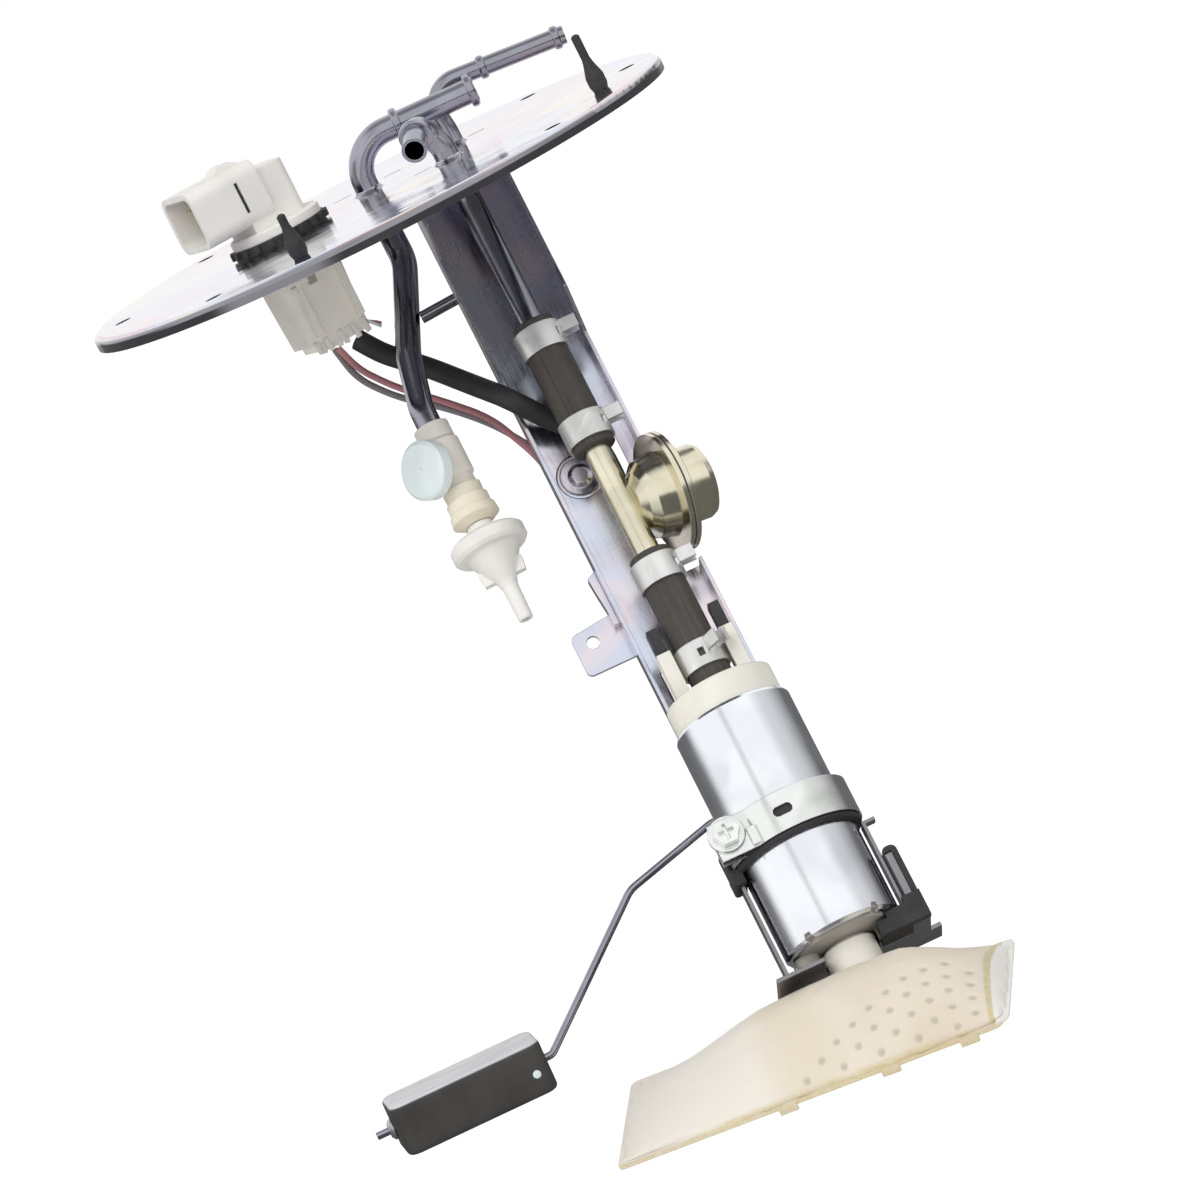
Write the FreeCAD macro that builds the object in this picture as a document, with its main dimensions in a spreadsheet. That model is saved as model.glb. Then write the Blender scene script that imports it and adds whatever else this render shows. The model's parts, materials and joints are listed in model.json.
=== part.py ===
import FreeCAD, Part
import math
import os

import Sketcher
from FreeCAD import Placement, Rotation, Vector

os.makedirs("parts", exist_ok=True)
doc = FreeCAD.newDocument("fuel_pump_module")
sheet = doc.addObject("Spreadsheet::Sheet", "Sizes")

# Numbers with the formula that gives them


class Size:
    """A length in millimetres or an angle in degrees, with the cell formula behind it."""

    def __init__(self, value, formula):
        self.value = float(value)
        self.formula = formula

    def __float__(self):
        return self.value

    def __add__(self, other):
        return joined(self, "+", other)

    def __radd__(self, other):
        return joined(other, "+", self)

    def __sub__(self, other):
        return joined(self, "-", other)

    def __rsub__(self, other):
        return joined(other, "-", self)

    def __mul__(self, other):
        return joined(self, "*", other)

    def __rmul__(self, other):
        return joined(other, "*", self)

    def __truediv__(self, other):
        return joined(self, "/", other)

    def __neg__(self):
        return joined(0, "-", self)


def as_size(item):
    if isinstance(item, Size):
        return item
    return Size(item, repr(float(item)))


def joined(left, sign, right):
    left = as_size(left)
    right = as_size(right)
    if sign == "+":
        value = left.value + right.value
    elif sign == "-":
        value = left.value - right.value
    elif sign == "*":
        value = left.value * right.value
    else:
        value = left.value / right.value
    return Size(value, f"({left.formula} {sign} {right.formula})")


row = 0


def size(name, value):
    """One driving dimension: a cell of the sheet with a plain number and an alias."""
    global row
    row += 1
    cell = f"A{row}"
    sheet.set(cell, str(value))
    sheet.setAlias(cell, name)
    return Size(value, f"Sizes.{name}")


# Mounting flange: a drawn steel disc with a turned-down rim
plate_radius = size("plate_radius", 100.5)
plate_thick = size("plate_thick", 1.2)
rim_drop = size("rim_drop", 3.4)
rim_round = size("rim_round", 2.2)
bolt_inset = size("bolt_inset", 10.9)
bolt_hole_radius = size("bolt_hole_radius", 2.8)
bolt_spread = size("bolt_spread", 49)
dimple_length = size("dimple_length", 6)
dimple_width = size("dimple_width", 1.4)
dimple_depth = size("dimple_depth", 0.4)

# Gasket under the flange, with two tails that are pulled up through the plate
gasket_lap = size("gasket_lap", 10.6)
gasket_rim_gap = size("gasket_rim_gap", 2.1)
gasket_thick = size("gasket_thick", 3.4)
gasket_bolt_radius = size("gasket_bolt_radius", 3.6)
tail_inset = size("tail_inset", 5.6)
tail_stem_radius = size("tail_stem_radius", 1.4)
tail_belly_radius = size("tail_belly_radius", 3)
tail_tall = size("tail_tall", 20.5)
tail_short = size("tail_short", 16)
tail_tall_angle = size("tail_tall_angle", -21)
tail_short_angle = size("tail_short_angle", -110)

# Electrical connector through the flange
connector_x = size("connector_x", -32.8)
connector_y = size("connector_y", 5)
connector_turn = size("connector_turn", 25)
neck_radius = size("neck_radius", 11.4)
lock_ring_outer = size("lock_ring_outer", 15.9)
lock_ring_inner = size("lock_ring_inner", 11.8)
lock_ring_height = size("lock_ring_height", 3.3)
lock_tooth = size("lock_tooth", 1.3)
disc_radius = size("disc_radius", 15.5)
disc_height = size("disc_height", 3.2)
socket_reach = size("socket_reach", 27.5)
socket_width = size("socket_width", 22)
socket_top = size("socket_top", 29.8)
socket_floor = size("socket_floor", 10.3)
socket_wall = size("socket_wall", 1.9)
socket_depth = size("socket_depth", 19)
slit_inset = size("slit_inset", 17.4)
slit_width = size("slit_width", 1.2)
slit_length = size("slit_length", 10.4)
block_back = size("block_back", 9)
block_width = size("block_width", 19)
block_top = size("block_top", 25.5)
pin_width = size("pin_width", 2)
pin_thick = size("pin_thick", 0.8)
pin_length = size("pin_length", 14)
pin_pitch = size("pin_pitch", 5)
seal_outer_radius = size("seal_outer_radius", 14)
seal_height = size("seal_height", 8.2)
plug_width = size("plug_width", 24.5)
plug_depth = size("plug_depth", 20)
plug_length = size("plug_length", 27.5)
plug_taper = size("plug_taper", 2.2)

# Steel pipes through the flange
pipe_radius = size("pipe_radius", 4.1)
pipe_wall = size("pipe_wall", 1)
bead_rise = size("bead_rise", 1.4)
bead_width = size("bead_width", 2.6)
return_radius = size("return_radius", 3)
stay_radius = size("stay_radius", 2)

# Hanger: everything below the flange leans on one axis
hang_x = size("hang_x", 26)
hang_y = size("hang_y", -2)
lean = size("lean", 26.5)
hang_turn = size("hang_turn", 6)
web_width = size("web_width", 32)
web_thick = size("web_thick", 1.2)
shelf_gap = size("shelf_gap", 5.5)
flange_depth = size("flange_depth", 9)
gusset_depth = size("gusset_depth", 17)
gusset_end = size("gusset_end", 57)
foot_length = size("foot_length", 6.2)
tab_level = size("tab_level", 161)
tab_reach = size("tab_reach", 16)
tab_hole_radius = size("tab_hole_radius", 2.1)

# Fuel line from the flange to the pump
hose_wall = size("hose_wall", 2.8)
hose_clearance = size("hose_clearance", 0.05)
upper_hose_top = size("upper_hose_top", 62)
upper_hose_length = size("upper_hose_length", 46.5)
lower_hose_top = size("lower_hose_top", 147.5)
lower_hose_length = size("lower_hose_length", 49)
hose_grip = size("hose_grip", 12)
clamp_width = size("clamp_width", 8.8)
clamp_thick = size("clamp_thick", 0.9)
clamp_inset = size("clamp_inset", 2.4)
clamp_ear = size("clamp_ear", 5)

# Pulsation damper
damper_level = size("damper_level", 130)
damper_turn = size("damper_turn", 14)
damper_disc_radius = size("damper_disc_radius", 19.6)
damper_disc_at = size("damper_disc_at", 13)
damper_rim = size("damper_rim", 1.6)
damper_dome_radius = size("damper_dome_radius", 13.5)
damper_cup_radius = size("damper_cup_radius", 12.2)
damper_cup_length = size("damper_cup_length", 13)
damper_wall = size("damper_wall", 1)
diaphragm_thick = size("diaphragm_thick", 0.5)

# Pump
can_radius = size("can_radius", 19.3)
can_wall = size("can_wall", 1.2)
can_top = size("can_top", 207)
can_length = size("can_length", 79.5)
cap_radius = size("cap_radius", 17.8)
cap_height = size("cap_height", 8)
tower_offset = size("tower_offset", 10.6)
tower_height = size("tower_height", 19)
tower_width = size("tower_width", 4.6)
inlet_neck_radius = size("inlet_neck_radius", 6.8)
inlet_neck_length = size("inlet_neck_length", 9.5)
lobe_radius = size("lobe_radius", 3.9)
lobe_offset = size("lobe_offset", 13.3)
shaft_radius = size("shaft_radius", 1.6)
running_fit = size("running_fit", 0.05)
armature_radius = size("armature_radius", 11.8)
armature_length = size("armature_length", 30)
armature_drop = size("armature_drop", 17)
commutator_radius = size("commutator_radius", 6)
commutator_length = size("commutator_length", 7)
magnet_inner_radius = size("magnet_inner_radius", 12.3)
magnet_length = size("magnet_length", 33)
impeller_radius = size("impeller_radius", 14.5)
impeller_thick = size("impeller_thick", 3.8)
impeller_gap = size("impeller_gap", 20.5)
blade_count = 28
crimp_count = 5
crimp_depth = size("crimp_depth", 2.4)

# Pump mount
band_drop = size("band_drop", 34)
band_width = size("band_width", 12.5)
band_thick = size("band_thick", 1)
cushion_thick = size("cushion_thick", 1.9)
cushion_height = size("cushion_height", 14.3)
flap_lap = size("flap_lap", 2.4)
shelf_thick = size("shelf_thick", 1.3)
shelf_half = size("shelf_half", 25.5)
shelf_front = size("shelf_front", 11)
shelf_step = size("shelf_step", 3)
foot_height = size("foot_height", 7.5)
arm_height = size("arm_height", 35.8)
arm_width = size("arm_width", 8)
post_height = size("post_height", 25)
screw_offset = size("screw_offset", 20)
screw_radius = size("screw_radius", 1.9)
washer_radius = size("washer_radius", 6)

# Rollover valve at the end of the vent pipe
valve_x = size("valve_x", -18.2)
valve_y = size("valve_y", -31)
valve_z = size("valve_z", -68)
valve_body_radius = size("valve_body_radius", 6.4)
valve_cap_radius = size("valve_cap_radius", 9.6)
valve_skirt_radius = size("valve_skirt_radius", 12.5)
valve_nozzle_radius = size("valve_nozzle_radius", 2.4)
valve_float_radius = size("valve_float_radius", 3.6)

# Level sender and float
sender_drop = size("sender_drop", 21)
sender_width = size("sender_width", 28)
sender_length = size("sender_length", 42)
sender_foot = size("sender_foot", 8)
sender_depth = size("sender_depth", 5)
arm_wire_radius = size("arm_wire_radius", 1.25)
float_length = size("float_length", 51)
float_height = size("float_height", 16.6)
float_depth = size("float_depth", 25)
float_round = size("float_round", 4.5)
float_reach = size("float_reach", 122.4)
float_drop = size("float_drop", 44.5)

# Strainer
sock_length = size("sock_length", 130)
sock_width = size("sock_width", 57)
sock_crown = size("sock_crown", 24)
sock_belly = size("sock_belly", 5)
sock_x = size("sock_x", -23.05)
sock_y = size("sock_y", 3.64)
sock_drop = size("sock_drop", 28.34)
sock_tilt = size("sock_tilt", 11.6)
sock_turn = size("sock_turn", -14.7)
collar_radius = size("collar_radius", 8.6)
collar_length = size("collar_length", 7)

doc.recompute()

# Derived sizes
web_front = can_radius + 0.3
web_back = web_front + web_thick
cap_top = can_top - cap_height
post_middle = can_radius + 4.2
can_bottom = can_top + can_length
bolt_circle_radius = plate_radius - bolt_inset
gasket_inner_radius = bolt_circle_radius - gasket_lap
gasket_outer_radius = plate_radius - plate_thick - gasket_rim_gap
tail_circle_radius = bolt_circle_radius - tail_inset
hang_length = can_bottom + shelf_gap
can_bottom_gap = hang_length - can_bottom
arm_top = hang_length - arm_height
post_top = hang_length - post_height
band_top = can_top + band_drop
sender_level = can_top + sender_drop
armature_top = can_top + armature_drop
impeller_level = armature_top + armature_length + impeller_gap
sock_level = can_bottom + sock_drop
hose_bore = pipe_radius + hose_clearance
hose_radius = hose_bore + hose_wall
lower_hose_end = lower_hose_top + lower_hose_length
disc_floor = plate_thick + lock_ring_height
disc_top = disc_floor + disc_height
arm_plane = web_back + sender_depth + 2.4

# Frames
HANG_TILT = Rotation(Vector(1, 0, 0), -float(lean))
HANG = Placement(
    Vector(float(hang_x), float(hang_y), 0),
    HANG_TILT.multiply(Rotation(Vector(0, 0, 1), float(hang_turn))),
)
CONNECTOR = Placement(
    Vector(float(connector_x), float(connector_y), 0),
    Rotation(Vector(0, 0, 1), float(connector_turn)),
)
VALVE = Placement(Vector(float(valve_x), float(valve_y), float(valve_z)), HANG_TILT)
DAMPER_AXIS = Vector(
    math.cos(math.radians(float(damper_turn))),
    math.sin(math.radians(float(damper_turn))),
    0,
)
DAMPER = HANG.multiply(
    Placement(
        Vector(0, 0, -float(damper_level)), Rotation(Vector(0, 0, 1), DAMPER_AXIS)
    )
)
SOCK = Placement(
    HANG.multVec(Vector(float(sock_x), float(sock_y), -float(sock_level))),
    Rotation(Vector(1, 0, 0), float(sock_tilt)).multiply(
        Rotation(Vector(0, 0, 1), float(sock_turn))
    ),
)

NODES = {}


def keep(node, thing):
    """Name a finished sub-part as one node of the assembly."""
    thing.Label = node
    NODES[node] = thing
    return thing


# Sketches and features


def new_body(name, place=None):
    body = doc.addObject("PartDesign::Body", name)
    if place is not None:
        body.Placement = place
    return body


def sketch_on(body, name, role, offset=None):
    plane = next(part for part in body.Origin.OriginFeatures if part.Role == role)
    sketch = body.newObject("Sketcher::SketchObject", name)
    sketch.AttachmentSupport = [(plane, "")]
    sketch.MapMode = "FlatFace"
    if offset is not None:
        sketch.setExpression("AttachmentOffset.Base.z", as_size(offset).formula)
    return sketch


def fix_point(sketch, edge, end, x, y):
    """Hold one end of an edge at x, y from the sketch's origin, by formula."""
    for axis, line, amount in (("DistanceX", -2, x), ("DistanceY", -1, y)):
        amount = as_size(amount)
        if amount.formula == "0.0":
            sketch.addConstraint(Sketcher.Constraint("PointOnObject", edge, end, line))
            continue
        index = sketch.addConstraint(
            Sketcher.Constraint(axis, edge, end, amount.value)
        )
        sketch.setExpression(f"Constraints[{index}]", amount.formula)


def polygon(sketch, points):
    first = sketch.GeometryCount
    count = len(points)
    corners = [Vector(float(x), float(y), 0) for x, y in points]
    for i in range(count):
        sketch.addGeometry(Part.LineSegment(corners[i], corners[(i + 1) % count]))
    for i in range(count):
        sketch.addConstraint(
            Sketcher.Constraint("Coincident", first + i, 2, first + (i + 1) % count, 1)
        )
    for i, (x, y) in enumerate(points):
        fix_point(sketch, first + i, 1, x, y)


def rectangle(sketch, x0, y0, x1, y1):
    polygon(sketch, [(x0, y0), (x1, y0), (x1, y1), (x0, y1)])


def circle(sketch, x, y, radius):
    radius = as_size(radius)
    edge = sketch.addGeometry(
        Part.Circle(Vector(float(x), float(y), 0), Vector(0, 0, 1), radius.value)
    )
    index = sketch.addConstraint(Sketcher.Constraint("Radius", edge, radius.value))
    sketch.setExpression(f"Constraints[{index}]", radius.formula)
    if float(x) == 0 and float(y) == 0:
        sketch.addConstraint(Sketcher.Constraint("Coincident", edge, 3, -1, 1))
    else:
        fix_point(sketch, edge, 3, x, y)


def turned(body, name, points, cut=False):
    """Revolve a closed outline of radius and height about the body's Z axis."""
    sketch = sketch_on(body, name + "_outline", "XZ_Plane")
    polygon(sketch, points)
    kind = "PartDesign::Groove" if cut else "PartDesign::Revolution"
    feature = body.newObject(kind, name)
    feature.Profile = sketch
    feature.ReferenceAxis = (sketch, ["V_Axis"])
    feature.Angle = 360
    doc.recompute()
    return feature


def padded(body, name, sketch, length, reverse=False, both=False):
    feature = body.newObject("PartDesign::Pad", name)
    feature.Profile = sketch
    feature.setExpression("Length", as_size(length).formula)
    feature.Reversed = reverse
    feature.Midplane = both
    doc.recompute()
    return feature


def pocketed(body, name, sketch, length=None, reverse=False, both=False):
    """Cut a sketch out of the body: to a depth, or right through when none is given."""
    before = body.Shape.Volume
    feature = body.newObject("PartDesign::Pocket", name)
    feature.Profile = sketch
    if length is None:
        feature.Type = 1
    else:
        feature.setExpression("Length", as_size(length).formula)
    feature.Reversed = reverse
    feature.Midplane = both
    doc.recompute()
    if feature.Shape.Volume > before - 1e-4:
        raise RuntimeError(f"{name} cuts nothing")
    return feature


def ringed(body, name, feature, count):
    """Repeat a feature evenly round the body's Z axis."""
    axis = next(part for part in body.Origin.OriginFeatures if part.Role == "Z_Axis")
    pattern = body.newObject("PartDesign::PolarPattern", name)
    pattern.Originals = [feature]
    pattern.Axis = (axis, [""])
    pattern.Angle = 360
    pattern.Occurrences = count
    body.Tip = pattern
    doc.recompute()
    return pattern


def along(edge, direction):
    if not isinstance(edge.Curve, Part.Line):
        return False
    return abs(abs(edge.Curve.Direction.dot(direction)) - 1) < 1e-3


def rounded(body, name, radius, test, kind="PartDesign::Fillet"):
    """Fillet or chamfer the edges of the body's last feature that pass a test."""
    base = body.Tip
    shape = base.Shape
    names = [f"Edge{i + 1}" for i, edge in enumerate(shape.Edges) if test(edge)]
    if not names:
        raise RuntimeError(f"{name} finds no edge")
    feature = body.newObject(kind, name)
    feature.Base = (base, names)
    target = "Radius" if kind.endswith("Fillet") else "Size"
    feature.setExpression(target, as_size(radius).formula)
    doc.recompute()
    return feature


def place_at(thing, x, y, z):
    for axis, amount in (("x", x), ("y", y), ("z", z)):
        thing.setExpression(f"Placement.Base.{axis}", as_size(amount).formula)
    return thing


def cylinder(name, radius, height, x=0, y=0, z=0, turn=None):
    thing = doc.addObject("Part::Cylinder", name)
    thing.setExpression("Radius", as_size(radius).formula)
    thing.setExpression("Height", as_size(height).formula)
    if turn is not None:
        thing.Placement = Placement(Vector(), turn)
    return place_at(thing, x, y, z)


def block(name, length, width, height, x=0, y=0, z=0):
    thing = doc.addObject("Part::Box", name)
    thing.setExpression("Length", as_size(length).formula)
    thing.setExpression("Width", as_size(width).formula)
    thing.setExpression("Height", as_size(height).formula)
    return place_at(thing, x, y, z)


def less(name, base, tool):
    thing = doc.addObject("Part::Cut", name)
    thing.Base = base
    thing.Tool = tool
    return thing


def merged(name, things):
    thing = doc.addObject("Part::MultiFuse", name)
    thing.Shapes = things
    thing.Refine = True
    return thing


def group(name, things):
    thing = doc.addObject("Part::Compound", name)
    thing.Links = things
    return thing


def shaped(name, shape, place=None):
    thing = doc.addObject("Part::Feature", name)
    thing.Shape = shape
    if place is not None:
        thing.Placement = place
    return thing


# Routes of pipes and wires


def tangent_route(points, radii):
    """Straight runs joined by tangent arcs, one radius for each inner point."""
    points = [Vector(*map(float, point)) for point in points]
    edges = []
    start = points[0]
    for i, radius in enumerate(radii, 1):
        into = (points[i] - points[i - 1]).normalize()
        out = (points[i + 1] - points[i]).normalize()
        half = into.getAngle(out) / 2
        back = float(radius) * math.tan(half)
        begin = points[i] - into * back
        end = points[i] + out * back
        bisector = (out - into).normalize()
        middle = points[i] + bisector * float(radius) * (1 / math.cos(half) - 1)
        if begin.distanceToPoint(start) > 1e-4:
            edges.append(Part.LineSegment(start, begin).toShape())
        edges.append(Part.Arc(begin, middle, end).toShape())
        start = end
    edges.append(Part.LineSegment(start, points[-1]).toShape())
    return Part.Wire(edges)


def cord_radii(points, share=0.45):
    """The largest even arc at each bend of a cord: a share of its shorter run."""
    points = [Vector(*map(float, point)) for point in points]
    radii = []
    for i in range(1, len(points) - 1):
        into = points[i] - points[i - 1]
        out = points[i + 1] - points[i]
        half = into.getAngle(out) / 2
        radii.append(share * min(into.Length, out.Length) / math.tan(half))
    return radii


def swept(route, radius):
    edge = route.Edges[0]
    start = edge.valueAt(edge.FirstParameter)
    normal = edge.tangentAt(edge.FirstParameter)
    ring = Part.Wire(Part.makeCircle(float(radius), start, normal))
    return route.makePipeShell([ring], True, True)


def bead(shape, at, direction, radius, bore):
    """A rolled bead round a pipe: a short thick ring with rounded shoulders."""
    width = float(bead_width)
    base = at - direction * (width / 2)
    outer = Part.makeCylinder(float(radius), width, base, direction)
    outer = outer.makeFillet(width * 0.32, [e for e in outer.Edges if e.Length > 1])
    hole = Part.makeCylinder(float(bore), width, base, direction)
    return shape.fuse(outer.cut(hole)).removeSplitter()


# Flange plate


def polar(radius, angle):
    return (
        float(radius) * math.cos(math.radians(float(angle))),
        float(radius) * math.sin(math.radians(float(angle))),
    )


def bolt_angles():
    spread = float(bolt_spread)
    return [0, spread, 180 - spread, 180, 180 + spread, -spread]


def bolt_positions(circle_radius):
    return [polar(circle_radius, angle) for angle in bolt_angles()]


vent_foot = (-1.2, 20.0)
feed_foot = (float(hang_x), float(hang_y) - 6.0)
return_foot = (30.5, 30.0)


def make_flange_plate():
    body = new_body("flange_plate")
    skirt = plate_radius - plate_thick
    turned(
        body,
        "drawn_disc",
        [
            (0, 0),
            (skirt, 0),
            (skirt, -rim_drop),
            (plate_radius, -rim_drop),
            (plate_radius, plate_thick),
            (0, plate_thick),
        ],
    )
    rounded(
        body,
        "rim_bend",
        rim_round,
        lambda e: abs(e.BoundBox.XMax - float(plate_radius)) < 1e-3
        and abs(e.BoundBox.ZMax - float(plate_thick)) < 1e-3
        and abs(e.BoundBox.ZMin - float(plate_thick)) < 1e-3,
    )
    rounded(
        body,
        "rim_inside",
        rim_round - plate_thick,
        lambda e: abs(e.BoundBox.XMax - float(skirt)) < 1e-3
        and abs(e.BoundBox.ZMax) < 1e-3
        and abs(e.BoundBox.ZMin) < 1e-3,
    )
    holes = sketch_on(body, "hole_layout", "XY_Plane", plate_thick)
    for x, y in bolt_positions(bolt_circle_radius):
        circle(holes, x, y, bolt_hole_radius)
    for x, y in (vent_foot, feed_foot):
        circle(holes, x, y, pipe_radius + hose_clearance)
    circle(holes, return_foot[0], return_foot[1], return_radius + hose_clearance)
    for angle in (tail_tall_angle, tail_short_angle):
        x, y = polar(tail_circle_radius, angle)
        circle(holes, x, y, tail_stem_radius)
    circle(holes, connector_x, connector_y, neck_radius + 0.3)
    pocketed(body, "holes", holes)
    dimples = sketch_on(body, "dimple_layout", "XY_Plane", plate_thick)
    for x, y in ((-10, 38), (8, 40), (17, -3), (38, 36)):
        rectangle(
            dimples,
            x - dimple_length / 2,
            y - dimple_width / 2,
            x + dimple_length / 2,
            y + dimple_width / 2,
        )
    pocketed(body, "weld_dimples", dimples, dimple_depth)
    keep("flange_plate", body)


def make_flange_gasket():
    ring = new_body("gasket_ring")
    crest = gasket_thick * 0.25
    width = (gasket_outer_radius - gasket_inner_radius) / 5
    turned(
        ring,
        "ribbed_ring",
        [
            (gasket_inner_radius, 0),
            (gasket_outer_radius, 0),
            (gasket_outer_radius, -gasket_thick),
            (gasket_outer_radius - width, -gasket_thick),
            (gasket_outer_radius - width, -gasket_thick + crest),
            (gasket_inner_radius + width, -gasket_thick + crest),
            (gasket_inner_radius + width, -gasket_thick),
            (gasket_inner_radius, -gasket_thick),
        ],
    )
    layout = sketch_on(ring, "gasket_hole_layout", "XY_Plane")
    for x, y in bolt_positions(bolt_circle_radius):
        circle(layout, x, y, gasket_bolt_radius)
    pocketed(ring, "gasket_holes", layout)
    tails = []
    for name, angle, height in (
        ("tall_tail", tail_tall_angle, tail_tall),
        ("short_tail", tail_short_angle, tail_short),
    ):
        x, y = polar(tail_circle_radius, angle)
        tail = new_body(name, Placement(Vector(x, y, 0), Rotation()))
        turned(
            tail,
            name + "_turn",
            [
                (0, -1),
                (tail_stem_radius, -1),
                (tail_stem_radius, plate_thick),
                (tail_belly_radius * 0.8, plate_thick),
                (tail_belly_radius, plate_thick + 2),
                (tail_belly_radius, plate_thick + 5),
                (tail_stem_radius * 1.3, plate_thick + 9),
                (tail_stem_radius, plate_thick + 11),
                (tail_stem_radius, height - 0.6),
                (tail_stem_radius * 0.5, height),
                (0, height),
            ],
        )
        tails.append(tail)
    keep("flange_gasket", merged("gasket_with_tails", [ring] + tails))


# Connector


def make_connector_socket():
    body = new_body("connector_socket", CONNECTOR)
    turned(
        body,
        "disc_and_neck",
        [
            (0, 0),
            (neck_radius, 0),
            (neck_radius, disc_floor),
            (disc_radius, disc_floor),
            (disc_radius, disc_top - 0.6),
            (disc_radius - 0.8, disc_top),
            (0, disc_top),
        ],
    )
    back = sketch_on(body, "block_outline", "XY_Plane", disc_top)
    rectangle(back, -socket_width / 2, -block_width / 2, block_back, block_width / 2)
    padded(body, "block", back, block_top - disc_top)
    rounded(
        body,
        "block_corners",
        3,
        lambda e: along(e, Vector(0, 0, 1)) and e.Length > 8 and e.BoundBox.XMin > 5,
    )
    shell = sketch_on(body, "shell_outline", "YZ_Plane", -socket_reach)
    rectangle(shell, -socket_width / 2, socket_floor, socket_width / 2, socket_top)
    padded(body, "shell", shell, socket_reach - 2)
    rounded(
        body,
        "shell_corners",
        4,
        lambda e: along(e, Vector(1, 0, 0)) and e.BoundBox.XMin < -float(socket_reach) + 1,
    )
    mouth = sketch_on(body, "mouth_outline", "YZ_Plane", -socket_reach)
    rectangle(
        mouth,
        -socket_width / 2 + socket_wall,
        socket_floor + socket_wall,
        socket_width / 2 - socket_wall,
        socket_top - socket_wall,
    )
    pocketed(body, "mouth", mouth, socket_depth, reverse=True)
    rounded(
        body,
        "mouth_corners",
        2.4,
        lambda e: along(e, Vector(1, 0, 0))
        and abs(e.Length - float(socket_depth)) < 0.01
        and abs(e.BoundBox.YMax) < float(socket_width) / 2 - 1,
    )
    latch = sketch_on(body, "latch_outline", "XZ_Plane")
    polygon(
        latch,
        [
            (-14, socket_top - 0.5),
            (-4, socket_top - 0.5),
            (-4, socket_top + 0.6),
            (-7, socket_top + 2),
            (-10, socket_top + 2),
        ],
    )
    padded(body, "latch", latch, 8, both=True)
    slit = sketch_on(body, "slit_outline", "XZ_Plane", socket_width / 2 - socket_wall - 0.1)
    right = -socket_reach + slit_inset
    rectangle(slit, right - slit_width, socket_top - 4.6 - slit_length, right, socket_top - 4.6)
    pocketed(body, "slit", slit, socket_wall + 1, reverse=True)
    keep("connector_socket", body)


def make_connector_pins():
    pins = []
    floor_x = -socket_reach + socket_depth
    for row_index, (level, count) in enumerate(((17.0, 2), (23.0, 3))):
        for i in range(count):
            y = (i - (count - 1) / 2) * pin_pitch
            pins.append(
                block(
                    f"pin_{row_index}_{i}",
                    pin_length,
                    pin_width,
                    pin_thick,
                    floor_x - pin_length,
                    y - pin_width / 2,
                    level - pin_thick / 2,
                )
            )
    pins_group = group("pin_group", pins)
    pins_group.Placement = CONNECTOR
    keep("connector_pins", pins_group)


def make_connector_lock_ring():
    body = new_body("lock_ring", CONNECTOR)
    top = disc_floor
    turned(
        body,
        "lock_band",
        [
            (lock_ring_inner, plate_thick),
            (lock_ring_outer, plate_thick),
            (lock_ring_outer, top),
            (lock_ring_inner, top),
        ],
    )
    tooth = sketch_on(body, "tooth_outline", "XY_Plane", plate_thick + 0.8)
    rectangle(tooth, lock_ring_outer - 0.4, -0.9, lock_ring_outer + lock_tooth, 0.9)
    pad = padded(body, "tooth", tooth, lock_ring_height - 1)
    ringed(body, "teeth", pad, 20)
    keep("connector_lock_ring", body)


def make_connector_seal():
    body = new_body("connector_seal", CONNECTOR)
    turned(
        body,
        "seal_ring",
        [
            (neck_radius - 2, -seal_height),
            (seal_outer_radius - 1.5, -seal_height),
            (seal_outer_radius, -seal_height + 1.5),
            (seal_outer_radius, 0),
            (neck_radius - 2, 0),
        ],
    )
    keep("connector_seal", body)


def make_connector_plug():
    body = new_body("connector_plug", CONNECTOR)
    top = -seal_height
    outline = sketch_on(body, "plug_outline", "XY_Plane", top)
    rectangle(outline, -plug_width / 2, -plug_depth / 2, plug_width / 2, plug_depth / 2)
    pad = padded(body, "plug_block", outline, plug_length, reverse=True)
    pad.setExpression("TaperAngle", (-plug_taper).formula)
    doc.recompute()
    rounded(
        body,
        "plug_corners",
        4,
        lambda e: e.BoundBox.ZLength > 20,
    )
    ribs = sketch_on(body, "rib_outline", "XY_Plane", top - 3)
    for x in (-8.5, 7.5):
        rectangle(ribs, x, -plug_depth / 2 - 0.9, x + 2.2, plug_depth / 2)
    padded(body, "ribs", ribs, plug_length - 8, reverse=True)
    tongue = sketch_on(body, "tongue_outline", "XY_Plane", top)
    circle(tongue, 0, 0, neck_radius - 2.2)
    padded(body, "tongue", tongue, seal_height - 0.2)
    notch = sketch_on(body, "notch_outline", "XZ_Plane")
    rectangle(notch, -plug_width / 2 - 1, top - plug_length - 1, -7, top - plug_length + 3)
    pocketed(body, "lead_notch", notch, plug_depth + 4, both=True)
    keep("connector_plug", body)


# Pipes

vent_points = [
    (44, 20, 15.4),
    (-1.2, 20, 17),
    (-1.2, 20, -5),
    (-1.0, 11, -23),
    (-13.5, -17, -48),
]
feed_bend_z = (feed_foot[1] - float(hang_y)) / math.tan(math.radians(float(lean)))


def hang_point(x, y, z):
    """A point of the leaning hanger, given across, behind and up its own axis."""
    return HANG.multVec(Vector(float(x), float(y), float(z)))


def valve_point(x, y, z):
    return VALVE.multVec(Vector(float(x), float(y), float(z)))


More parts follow.
